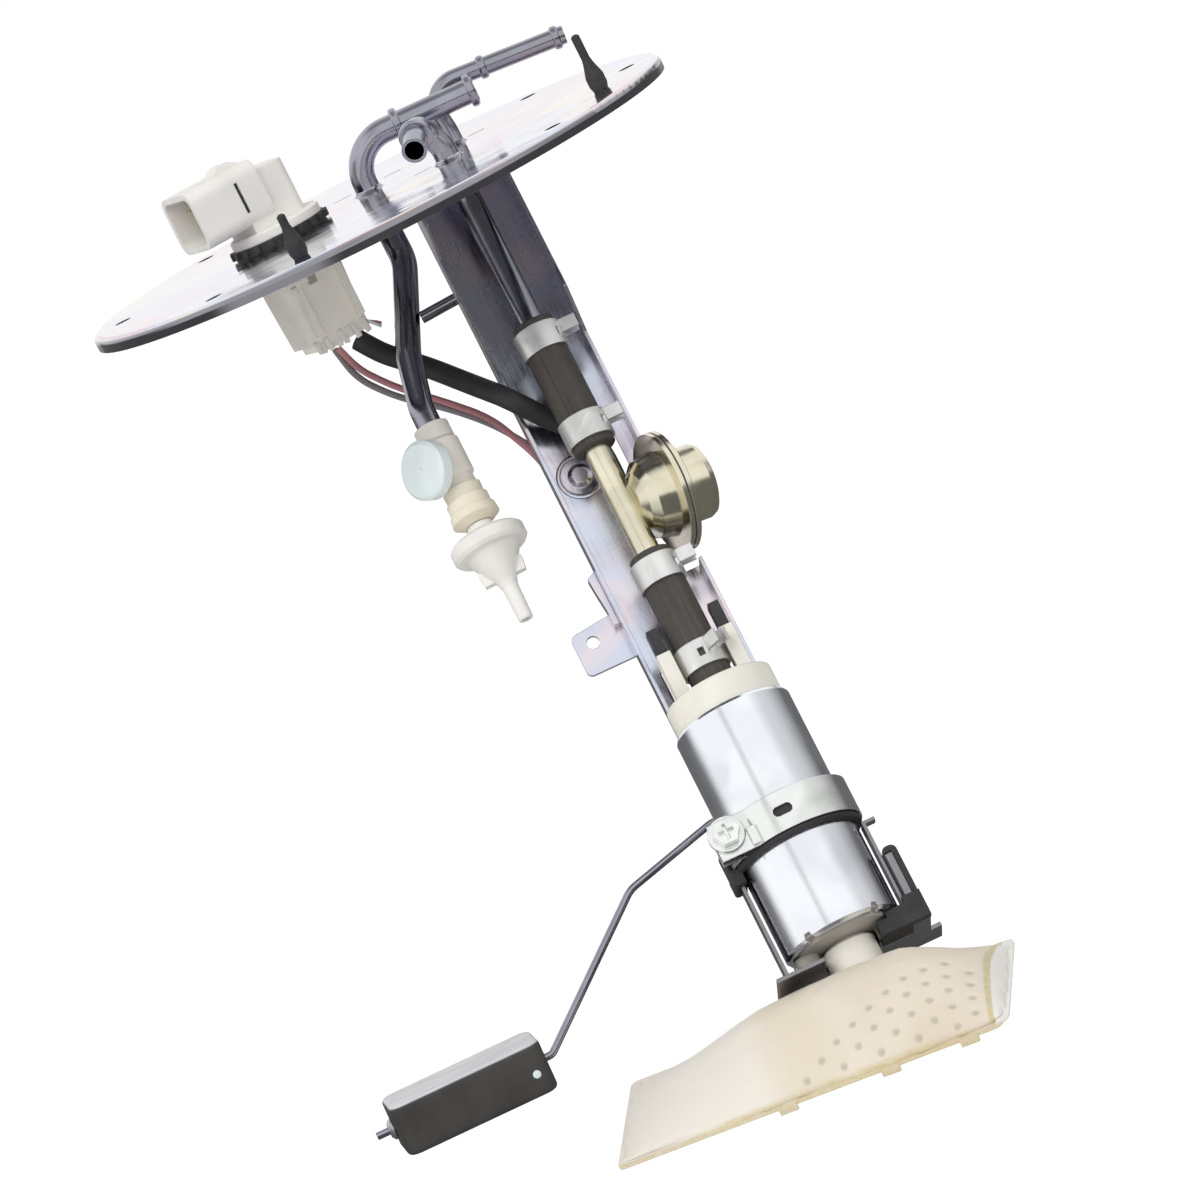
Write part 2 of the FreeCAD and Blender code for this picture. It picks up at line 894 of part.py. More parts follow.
def make_vent_pipe():
    end = valve_point(0.9, 0, -6)
    turn = valve_point(0.9, 0, 5)
    points = vent_points + [tuple(turn), tuple(end)]
    route = tangent_route(points, [13, 12, 16, 15, 16])
    pipe = swept(route, pipe_radius).cut(swept(route, pipe_radius - pipe_wall))
    tip = Vector(*map(float, points[0]))
    direction = (Vector(*map(float, points[1])) - tip).normalize()
    for offset in (1.6, 27.5):
        pipe = bead(
            pipe,
            tip + direction * offset,
            direction,
            pipe_radius + bead_rise,
            pipe_radius - 0.2,
        )
    keep("vent_pipe", shaped("vent_pipe", pipe))


def make_feed_pipe():
    x, y = feed_foot
    lower = hang_point(0, 0, -upper_hose_top - hose_grip)
    points = [
        (17.4, -34, 11),
        (22, y - 1, 16),
        (x, y, 6),
        (x, y, feed_bend_z),
        tuple(lower),
    ]
    route = tangent_route(points, [7, 7, 12])
    pipe = swept(route, pipe_radius).cut(swept(route, pipe_radius - pipe_wall))
    tip = Vector(*map(float, points[0]))
    direction = (Vector(*map(float, points[1])) - tip).normalize()
    pipe = bead(
        pipe,
        tip + direction * 14,
        direction,
        pipe_radius + bead_rise,
        pipe_radius - 0.2,
    )
    keep("feed_pipe", shaped("feed_pipe", pipe))


def make_return_pipe():
    x, y = return_foot
    points = [
        (77.5, y, 17.2),
        (x - 2, y, 21.5),
        (x, y, 7),
        (x, y, -30),
        (x + 2, y + 4, -48),
    ]
    route = tangent_route(points, [9, 20, 20])
    pipe = swept(route, return_radius).cut(swept(route, return_radius - pipe_wall * 0.8))
    tip = Vector(*map(float, points[0]))
    direction = (Vector(*map(float, points[1])) - tip).normalize()
    for offset in (3, 28.5):
        pipe = bead(
            pipe,
            tip + direction * offset,
            direction,
            return_radius + bead_rise * 0.6,
            return_radius - 0.2,
        )
    keep("return_pipe", shaped("return_pipe", pipe))


def make_pipe_stay():
    start = hang_point(-web_width / 2 - 0.45, web_front - 6, -38)
    end = Vector(-9.4, -8, -40)
    axis = (end - start).normalize()
    length = (end - start).Length - float(pipe_radius) - 0.9
    rod = Part.makeCylinder(float(stay_radius), length, start, axis)
    keep("pipe_stay", shaped("pipe_stay", rod))


# Hanger


def make_hanger_bracket():
    body = new_body("hanger_bracket", HANG)
    half = web_width / 2
    front = web_back - gusset_depth
    channel = sketch_on(body, "channel_outline", "XY_Plane", -hang_length)
    polygon(
        channel,
        [
            (-half, front),
            (-half + web_thick, front),
            (-half + web_thick, web_front),
            (half - web_thick, web_front),
            (half - web_thick, front),
            (half, front),
            (half, web_back),
            (-half, web_back),
        ],
    )
    padded(body, "channel", channel, hang_length + 16)
    edge = web_back - flange_depth
    can_edge = web_back - flange_depth * 0.72
    left = sketch_on(body, "left_flange_trim", "YZ_Plane")
    polygon(
        left,
        [
            (front - 1, -14),
            (edge, -24),
            (edge, -can_top + 10),
            (can_edge, -can_top + 2),
            (can_edge, -hang_length - 1),
            (front - 1, -hang_length - 1),
        ],
    )
    pocketed(body, "left_flange", left, half + 1)
    right = sketch_on(body, "right_flange_trim", "YZ_Plane")
    polygon(
        right,
        [
            (front - 1, -gusset_end + 6),
            (edge, -gusset_end - 10),
            (edge, -can_top + 10),
            (can_edge, -can_top + 2),
            (can_edge, -hang_length - 1),
            (front - 1, -hang_length - 1),
        ],
    )
    pocketed(body, "right_flange", right, half + 1, reverse=True)
    window = sketch_on(body, "damper_window", "XZ_Plane")
    level = -damper_level
    reach = damper_disc_radius + 1.5
    polygon(
        window,
        [
            (6, level + reach + 2),
            (half + 1, level + reach - 8),
            (half + 1, level - reach),
            (8, level - reach),
            (6, level - reach + 3),
        ],
    )
    pocketed(body, "damper_window_cut", window, 60, both=True)
    slots = sketch_on(body, "lead_slots", "XZ_Plane")
    rectangle(slots, -1.6, -114, 9.6, -91)
    rectangle(slots, -12, -188.5, 12, -178)
    circle(slots, -6, -107.5, 2.45)
    pocketed(body, "lead_slot_cut", slots, 60, both=True)
    rounded(
        body,
        "channel_bends",
        web_thick * 0.9,
        lambda e: along(e, Vector(0, 0, 1))
        and abs(e.BoundBox.YMin - float(web_back)) < 1e-3
        and abs(abs(e.BoundBox.XMin) - float(half)) < 1e-3,
    )
    above = block("above_foot", 120, 120, 60, hang_x - 60, hang_y - 50, -web_thick / 2)
    trimmed = less("trimmed_channel", body, above)
    keep("hanger_bracket", merged("bent_sheet", [trimmed, make_bracket_foot()]))


def make_bracket_foot():
    """The hanger's upper end, bent back flat under the plate and welded to it."""
    body = new_body("bracket_foot", Placement(Vector(float(hang_x), 0, 0), Rotation()))
    top_y = (float(hang_y) + float(web_back) / math.cos(math.radians(float(lean))))
    outline = sketch_on(body, "foot_outline", "XY_Plane", -web_thick)
    half = web_width / 2
    rectangle(outline, -half, top_y - 1.5, half, top_y - 1.5 + foot_length)
    padded(body, "foot", outline, web_thick)
    rounded(
        body, "foot_corners", 2, lambda e: along(e, Vector(0, 0, 1)) and e.BoundBox.YMax > top_y + 2
    )
    return body


def make_bracket_tab():
    body = new_body("bracket_tab", HANG)
    half = web_width / 2
    level = -tab_level
    outline = sketch_on(body, "tab_outline", "XZ_Plane", -web_back - 0.1)
    polygon(
        outline,
        [
            (-half - tab_reach, level - 8),
            (-half + 5, level - 8),
            (-half + 5, level + 8),
            (-half - 3, level + 8),
            (-half - tab_reach, level + 6.5),
        ],
    )
    padded(body, "tab", outline, 1.2, reverse=True)
    hole = sketch_on(body, "tab_hole", "XZ_Plane", -web_back)
    circle(hole, -half - tab_reach + 6, level + 2, tab_hole_radius)
    pocketed(body, "tab_hole_cut", hole, 30, both=True)
    rounded(
        body,
        "tab_corners",
        2,
        lambda e: along(e, Vector(0, 1, 0)) and e.BoundBox.XMax < -float(half) - 10,
    )
    lug = sketch_on(body, "lug_outline", "XZ_Plane", -web_back - 1.3)
    polygon(
        lug,
        [
            (-half - 0.1, level + 22),
            (-half - 2.9, level + 20.6),
            (-half - 2.5, level + 15),
            (-half - 1.9, level + 8.5),
            (-half - 1.9, level + 3),
            (-half - 0.1, level + 3),
        ],
    )
    padded(body, "lug", lug, 4.8)
    keep("bracket_tab", body)


# Fuel line


def make_hose(node, top, length):
    body = new_body(node, HANG)
    turned(
        body,
        node + "_wall",
        [
            (hose_bore, -top - length),
            (hose_radius - 0.4, -top - length),
            (hose_radius, -top - length + 0.4),
            (hose_radius, -top - 0.4),
            (hose_radius - 0.4, -top),
            (hose_bore, -top),
        ],
    )
    keep(node, body)


def make_hose_clamp(node, level, turn=0):
    """A flat spring band with an oval window and two ears on its right side."""
    body = new_body(node, HANG.multiply(Placement(Vector(), Rotation(Vector(0, 0, 1), turn))))
    inner = hose_radius + 0.05
    outer = inner + clamp_thick
    turned(
        body,
        node + "_band",
        [
            (inner, -level - clamp_width),
            (outer, -level - clamp_width),
            (outer, -level),
            (inner, -level),
        ],
    )
    middle = -level - clamp_width / 2
    ears = sketch_on(body, node + "_ear_outline", "XY_Plane", middle - 0.4)
    for y0, y1 in ((-3.1, -2.1), (1.1, 2.1)):
        rectangle(ears, inner + clamp_thick * 0.4, y0, outer + clamp_ear, y1)
    padded(body, node + "_ears", ears, clamp_width / 2)
    window = sketch_on(body, node + "_window_outline", "YZ_Plane")
    rectangle(window, -5.6, middle - 1.3, -3.9, middle + 1.3)
    pocketed(body, node + "_window", window, outer + 1, reverse=True)
    keep(node, body)


# Damper


def make_damper():
    dome = new_body("dome")
    rim = damper_disc_at + damper_rim
    wall = damper_wall
    r = damper_dome_radius
    turned(
        dome,
        "dome_shell",
        [
            (0, pipe_radius - 1.2),
            (6.5, pipe_radius - 1.2),
            (r * 0.72, pipe_radius + 0.6),
            (r * 0.94, pipe_radius + 3),
            (r, damper_disc_at - 2),
            (r + 0.6, damper_disc_at),
            (damper_disc_radius, damper_disc_at),
            (damper_disc_radius, rim),
            (r, rim),
            (r - wall, damper_disc_at),
            (r - wall, pipe_radius + 3.8),
            (r * 0.6, pipe_radius + 1.8),
            (0, pipe_radius + 1.4),
        ],
    )
    dome.Placement = Placement(
        Vector(0, 0, -float(damper_level)), Rotation(Vector(0, 0, 1), DAMPER_AXIS)
    )
    top = -upper_hose_top - upper_hose_length + hose_grip
    bottom = -lower_hose_top - hose_grip
    tube = cylinder("damper_tube", pipe_radius, top - bottom, 0, 0, bottom)
    bore = cylinder("damper_bore", pipe_radius - pipe_wall, top - bottom + 2, 0, 0, bottom - 1)
    solid = merged("damper_solid", [tube, dome])
    body = less("damper_body", solid, bore)
    body.Placement = HANG
    keep("damper_body", body)

    cover = new_body("damper_cover", DAMPER)
    base = rim + diaphragm_thick
    cup = damper_cup_radius
    far = base + damper_cup_length
    turned(
        cover,
        "cover_shell",
        [
            (cup - wall, base),
            (damper_disc_radius, base),
            (damper_disc_radius, base + damper_rim),
            (cup + 1, base + damper_rim),
            (cup, base + damper_rim + 1),
            (cup, far - 2.5),
            (cup - 0.8, far - 0.8),
            (cup - 2.5, far),
            (0, far),
            (0, far - wall),
            (cup - 2.7, far - wall),
            (cup - wall, far - 2.7),
        ],
    )
    keep("damper_cover", cover)

    sheet_body = new_body("damper_diaphragm", DAMPER)
    turned(
        sheet_body,
        "diaphragm",
        [
            (0, rim),
            (damper_disc_radius, rim),
            (damper_disc_radius, rim + diaphragm_thick),
            (0, rim + diaphragm_thick),
        ],
    )
    keep("damper_diaphragm", sheet_body)

    room = damper_cup_length - wall - 0.5
    foot = Placement(Vector(0, 0, float(rim + diaphragm_thick) + 0.25), Rotation())
    coil = coil_spring(6.0, 0.7, room, 5)
    keep("damper_spring", shaped("damper_spring", coil, DAMPER.multiply(foot)))


def coil_spring(radius, wire, height, turns):
    """A compression spring that stands on the XY plane, closed by a half turn each end."""
    rise = float(height) - 2 * wire
    helix = Part.makeHelix(rise / turns, rise, radius)
    helix.translate(Vector(0, 0, wire))
    start = helix.Edges[0].valueAt(helix.Edges[0].FirstParameter)
    tangent = helix.Edges[0].tangentAt(helix.Edges[0].FirstParameter)
    ring = Part.Wire(Part.makeCircle(wire, start, tangent))
    return Part.Wire(helix.Edges).makePipeShell([ring], True, True)


# Wiring

sleeve_points = [
    (-25.7, 4.6, -38.2),
    (-20.5, 1.5, -45.5),
    (-10, -6.5, -54.5),
    (1.5, -19, -66),
]
sleeve_radius = size("sleeve_radius", 3.4)
lead_radius = size("lead_radius", 1.1)
behind = web_back + sleeve_radius + 0.4


def make_power_sleeve():
    """The thick black lead: plug to the web opening behind the upper hose, down the back."""
    points = list(sleeve_points)
    for x, y, z in (
        (-17.5, 3.4, -79),
        (-9.2, 9.8, -87.5),
        (-1.5, 14.2, -94),
        (3.6, 19.4, -101.5),
        (4.4, behind, -112.5),
        (2.5, behind + 1.6, -128),
        (-0.5, behind, -148),
        (0, behind, -166),
    ):
        points.append(tuple(hang_point(x, y, z)))
    radii = cord_radii(points)
    route = tangent_route(points, radii)
    keep("power_sleeve", shaped("power_sleeve", swept(route, sleeve_radius)))


def make_pump_leads():
    """Two thin leads from the sleeve's end through the lower opening to the terminals."""
    leads = []
    for side in (-1, 1):
        points = [
            tuple(hang_point(side * 1.5, behind, -166.3)),
            tuple(hang_point(side * 2.2, behind + 0.4, -175)),
            tuple(hang_point(side * 5, web_back + 1.4, -183)),
            tuple(hang_point(side * 8.6, web_front - 6.5, -184.5)),
            tuple(hang_point(side * 10.4, 8.4, -180.5)),
            tuple(hang_point(side * 10.6, 4.2, -176)),
        ]
        radii = cord_radii(points)
        leads.append(swept(tangent_route(points, radii), lead_radius))
    keep("pump_leads", shaped("pump_leads", Part.Compound(leads)))


def make_sender_leads():
    """The thin grey and red pair: plug, then behind the hanger to the sender."""
    leads = []
    back = web_back + lead_radius
    for shift in (0, 1):
        across = 2.6 * shift
        points = [
            (-32.5 - 1.2 * shift, 5.5 + 2.4 * shift, -38),
            (-29.5 - 2 * shift, 3 + 1.2 * shift, -47 - 2.2 * shift),
            (-21.5 - 1.6 * shift, 0 + shift, -57 - 2.6 * shift),
            (-9.5, -6 + shift, -67.5 - 2.6 * shift),
            (1, -10.5 + shift, -78 - 2.6 * shift),
            tuple(hang_point(-13.5 + across, back + 2.4, -97)),
            tuple(hang_point(-12.6 + across, back + 2, -119)),
            tuple(hang_point(-12.4 + across, back + 4, -143)),
            tuple(hang_point(-12.6 + across, back + 3.6, -165)),
            tuple(hang_point(-12 + across, back + 1.6, -180)),
            tuple(hang_point(-12.2 + across, back + 1.4, -190.3)),
        ]
        radii = cord_radii(points)
        leads.append(swept(tangent_route(points, radii), lead_radius))
    keep("sender_leads", shaped("sender_leads", Part.Compound(leads)))


# Rollover valve


def make_valve():
    body = new_body("valve_body", VALVE)
    r = valve_body_radius
    bore = pipe_radius + hose_clearance
    turned(
        body,
        "valve_turn",
        [
            (0, -38),
            (5, -38),
            (8, -36),
            (7.6, -33),
            (6.9, -33),
            (7, -29),
            (6.2, -29),
            (6.4, -25),
            (5.6, -25),
            (5.4, -21.5),
            (r, -20.5),
            (r, -8.6),
            (r - 1, -7.6),
            (5.8, -7.6),
            (5.8, -2),
            (bore, -2),
            (bore, -8.6),
            (3, -8.6),
            (3, -11),
            (valve_float_radius + 0.6, -11),
            (valve_float_radius + 0.6, -22.8),
            (2, -22.8),
            (2, -37),
            (0, -37),
        ],
    )
    keep("valve_body", body)
    body.Placement = VALVE.multiply(Placement(Vector(0.9, 0, 0), Rotation()))

    cap = new_body("valve_cap")
    turned(
        cap,
        "cap_turn",
        [
            (0, -1),
            (6.2, -1),
            (6.2, 0),
            (valve_cap_radius - 0.8, 0),
            (valve_cap_radius, 0.8),
            (valve_cap_radius, 4.6),
            (valve_cap_radius - 1.2, 5.6),
            (1.2, 5.6),
            (0.5, 5.1),
            (0, 5.1),
        ],
    )
    side = Vector(-0.66, -0.75, 0)
    cap.Placement = VALVE.multiply(
        Placement(
            Vector(0.9, 0, -16.8) + side * (float(r) + 1.4), Rotation(Vector(0, 0, 1), side)
        )
    )
    keep("valve_cap", cap)

    skirt = new_body("valve_skirt", VALVE.multiply(Placement(Vector(0.9, 0, 0), Rotation())))
    turned(
        skirt,
        "skirt_turn",
        [
            (valve_nozzle_radius - 1, -73),
            (valve_nozzle_radius - 0.3, -73),
            (valve_nozzle_radius, -72.5),
            (valve_nozzle_radius + 0.3, -61),
            (3.4, -59),
            (9.2, -48.6),
            (valve_skirt_radius - 1, -48.2),
            (valve_skirt_radius, -47),
            (valve_skirt_radius, -43.6),
            (valve_skirt_radius - 1, -42.6),
            (5, -41.5),
            (4.2, -38.2),
            (1.6, -38.2),
            (1.6, -43),
            (8, -45.5),
            (2.4, -58.5),
            (valve_nozzle_radius - 1, -60.5),
        ],
    )
    ears = sketch_on(skirt, "ear_outline", "XZ_Plane")
    polygon(ears, [(-7, -58), (-3, -58), (-3, -50), (-7.6, -53.5)])
    polygon(ears, [(3, -58), (7, -58), (7.6, -53.5), (3, -50)])
    padded(skirt, "skirt_ears", ears, 3, both=True)
    keep("valve_skirt", skirt)

    plunger = new_body("valve_float", VALVE.multiply(Placement(Vector(0.9, 0, 0), Rotation())))
    turned(
        plunger,
        "valve_float_turn",
        [
            (0, -18.6),
            (valve_float_radius, -18.6),
            (valve_float_radius, -14.4),
            (1.6, -13.2),
            (0, -13.2),
        ],
    )
    keep("valve_float", plunger)

    coil = coil_spring(2.4, 0.3, 3.9, 4)
    foot = Placement(Vector(0.9, 0, -22.7), Rotation())
    keep("valve_spring", shaped("valve_spring", coil, VALVE.multiply(foot)))


# Pump


def make_pump_shell():
    body = new_body("pump_shell", HANG)
    bottom = -can_bottom
    top = -can_top
    inner = can_radius - can_wall
    turned(
        body,
        "can_turn",
        [
            (inner, bottom + 1.2),
            (inner - 2, bottom + 1.2),
            (inner - 2, bottom),
            (can_radius - 1, bottom),
            (can_radius, bottom + 1),
            (can_radius, top - 1),
            (can_radius - 0.6, top),
            (inner, top),
        ],
    )
    notch = sketch_on(body, "crimp_outline", "XZ_Plane")
    polygon(
        notch,
        [
            (-1.9, bottom - 0.5),
            (1.9, bottom - 0.5),
            (1, bottom + crimp_depth),
            (-1, bottom + crimp_depth),
        ],
    )
    cut = pocketed(body, "crimp", notch, can_radius + 1)
    ringed(body, "crimps", cut, crimp_count)
    keep("pump_shell", body)


def make_pump_outlet_cap():
    body = new_body("pump_outlet_cap", HANG)
    inner = can_radius - can_wall
    top = -cap_top
    step = -can_top
    barb = hose_bore - 0.05
    bore = barb - 1.4
    turned(
        body,
        "cap_turn",
        [
            (shaft_radius + 3, step - 6),
            (inner, step - 6),
            (inner, step - 1.4),
            (cap_radius, step),
            (cap_radius, top + 1.5),
            (cap_radius - 1.5, top),
            (barb, top),
            (barb, -lower_hose_end + hose_grip + 4),
            (bore, -lower_hose_end + hose_grip + 4),
            (bore, step + 4),
            (1.9, step + 4),
            (1.9, step + 2.4),
            (shaft_radius + 3, step + 2.4),
        ],
    )
    towers = sketch_on(body, "tower_outline", "XY_Plane", top - 1)
    for side in (-1, 1):
        x0 = side * tower_offset - tower_width / 2
        rectangle(towers, x0, -4.5, x0 + tower_width, 4.5)
    padded(body, "towers", towers, tower_height + 1)
    keep("pump_outlet_cap", body)


def make_pump_terminals():
    tops = []
    level = -cap_top + tower_height
    for i, side in enumerate((-1, 1)):
        tops.append(
            block(
                f"terminal_{i}",
                tower_width - 1,
                6,
                9,
                side * tower_offset - (tower_width - 1) / 2,
                -3,
                level,
            )
        )
    terminals = group("terminal_pair", tops)
    terminals.Placement = HANG
    keep("pump_terminals", terminals)


def make_check_valve():
    seat = -can_top + cap_height
    poppet = new_body("outlet_check_valve", HANG)
    bore = hose_bore - 1.45
    turned(
        poppet,
        "poppet_turn",
        [
            (0, seat - 3.9),
            (1.2, seat - 3.9),
            (bore - 0.05, seat - 2.4),
            (bore - 0.05, seat - 0.4),
            (0, seat - 0.4),
        ],
    )
    keep("outlet_check_valve", poppet)
    coil = coil_spring(1.7, 0.3, 9, 5)
    foot = Placement(Vector(0, 0, float(seat) - 0.2), Rotation())
    keep("check_valve_spring", shaped("check_valve_spring", coil, HANG.multiply(foot)))


def make_motor():
    top = -armature_top
    bottom = top - armature_length
    core = new_body("armature_core", HANG)
    turned(
        core,
        "core_turn",
        [
            (shaft_radius, bottom),
            (armature_radius, bottom),
            (armature_radius, top),
            (shaft_radius, top),
        ],
    )
    slot = sketch_on(core, "slot_outline", "XY_Plane", top)
    rectangle(slot, armature_radius - 4.5, -0.7, armature_radius + 1, 0.7)
    cut = pocketed(core, "winding_slot", slot, armature_length)
    ringed(core, "winding_slots", cut, 8)
    keep("armature_core", core)

    shaft_top = -can_top - 0.8
    shaft_end = -impeller_level - impeller_thick - 4
    shaft = new_body("armature_shaft", HANG)
    turned(
        shaft,
        "shaft_turn",
        [(0, shaft_end), (shaft_radius, shaft_end), (shaft_radius, shaft_top), (0, shaft_top)],
    )
    keep("armature_shaft", shaft)

    ring = new_body("commutator", HANG)
    turned(
        ring,
        "commutator_turn",
        [
            (shaft_radius, top),
            (commutator_radius, top),
            (commutator_radius, top + commutator_length),
            (shaft_radius, top + commutator_length),
        ],
    )
    gap = sketch_on(ring, "gap_outline", "XY_Plane", top)
    rectangle(gap, commutator_radius - 0.8, -0.25, commutator_radius + 1, 0.25)
    gap_cut = pocketed(ring, "gap", gap, commutator_length, reverse=True)
    ringed(ring, "gaps", gap_cut, 8)
    keep("commutator", ring)

    inner = can_radius - can_wall
    middle = top - armature_length / 2
    low = middle - magnet_length / 2
    magnets = new_body("motor_magnets", HANG)
    turned(
        magnets,
        "magnet_turn",
        [
            (magnet_inner_radius, low),
            (inner, low),
            (inner, low + magnet_length),
            (magnet_inner_radius, low + magnet_length),
        ],
    )
    split = sketch_on(magnets, "split_outline", "XY_Plane", low - 1)
    rectangle(split, -3, -can_radius, 3, can_radius)
    pocketed(magnets, "split", split, magnet_length + 2, reverse=True)
    keep("motor_magnets", magnets)

    brush_middle = top + commutator_length / 2
    brushes = []
    coils = []
    seat = commutator_radius + 0.05
    for i, side in enumerate((1, -1)):
        start = seat if side == 1 else -seat - 5
        brushes.append(
            block(f"brush_{i}", 5, 4, 4, start, -2, brush_middle - 2)
        )
        spring = coil_spring(1.4, 0.3, inner - seat - 5.2, 5)
        foot = Placement(
            Vector(side * (float(seat) + 5.05), 0, float(brush_middle)),
            Rotation(Vector(0, 1, 0), 90 * side),
        )
        coils.append(shaped(f"brush_spring_{i}", spring, foot))
    brush_pair = group("brush_pair", brushes)
    brush_pair.Placement = HANG
    keep("motor_brushes", brush_pair)
    spring_pair = group("spring_pair", coils)
    spring_pair.Placement = HANG
    keep("brush_springs", spring_pair)


def make_bearings():
    casing_top = -armature_top - armature_length - 5
    bushes = []
    for name, high in (("upper", -can_top - 1.2), ("lower", casing_top - 5)):
        bush = new_body(name + "_bush")
        turned(
            bush,
            name + "_bush_turn",
            [
                (shaft_radius + running_fit, high - 4.6),
                (shaft_radius + 3, high - 4.6),
                (shaft_radius + 3, high),
                (shaft_radius + running_fit, high),
            ],
        )
        bushes.append(bush)
    pair = group("bush_pair", bushes)
    pair.Placement = HANG
    keep("shaft_bearings", pair)


def make_impeller():
    top = -impeller_level
    low = top - impeller_thick
    wheel = new_body("impeller", HANG)
    turned(
        wheel,
        "impeller_turn",
        [
            (shaft_radius, low),
            (impeller_radius, low),
            (impeller_radius, top),
            (shaft_radius, top),
        ],
    )
    slot = sketch_on(wheel, "vane_gap_outline", "XY_Plane", top)
    rectangle(slot, impeller_radius - 2.6, -0.8, impeller_radius + 1, 0.8)
    cut = pocketed(wheel, "vane_gap", slot, impeller_thick)
    ringed(wheel, "vane_gaps", cut, blade_count)
    keep("impeller", wheel)


def make_pump_casing():
    """Fixed casing over and round the impeller, with the lower bearing in it."""
    top = -armature_top - armature_length - 5
    inner = can_radius - can_wall
    chamber = -impeller_level + 0.15
    low = -impeller_level - impeller_thick - 0.15
    casing = new_body("pump_casing", HANG)
    turned(
        casing,
        "casing_turn",
        [
            (shaft_radius + 0.4, top - 9.6),
            (shaft_radius + 3, top - 9.6),
            (shaft_radius + 3, top),
            (inner, top),
            (inner, low),
            (impeller_radius + 0.2, low),
            (impeller_radius + 0.2, chamber),
            (shaft_radius + 0.4, chamber),
        ],
    )
    port = sketch_on(casing, "port_outline", "XY_Plane", top)
    circle(port, 0, impeller_radius - 3.5, 1.6)
    pocketed(casing, "port", port)
    keep("pump_casing", casing)


def make_inlet_cover():
    """Closes the pump's bottom: a disc in the can, two lobes below it and the inlet."""
    top = -impeller_level - impeller_thick - 0.15
    inner = can_radius - can_wall
    ledge = -can_bottom + 1.2
    cover = new_body("inlet_cover", HANG)
    bore = inlet_neck_radius - 1.4
    turned(
        cover,
        "cover_turn",
        [
            (0, top - 5.6),
            (bore, top - 7),
            (bore, -can_bottom - inlet_neck_length),
            (inlet_neck_radius, -can_bottom - inlet_neck_length),
            (inlet_neck_radius, -can_bottom - 1.6),
            (inner - 2.6, -can_bottom - 0.6),
            (inner - 2.2, ledge),
            (inner, ledge),
            (inner, top),
            (shaft_radius + 0.4, top),
            (shaft_radius + 0.4, top - 5),
            (0, top - 5),
        ],
    )
    lobes = sketch_on(cover, "lobe_outline", "XY_Plane", -can_bottom - 0.4)
    circle(lobes, -lobe_offset, -0.5, lobe_radius)
    circle(lobes, lobe_offset, -0.5, lobe_radius)
    padded(cover, "lobes", lobes, 4.8, reverse=True)
    keep("inlet_cover", cover)


# Pump mount


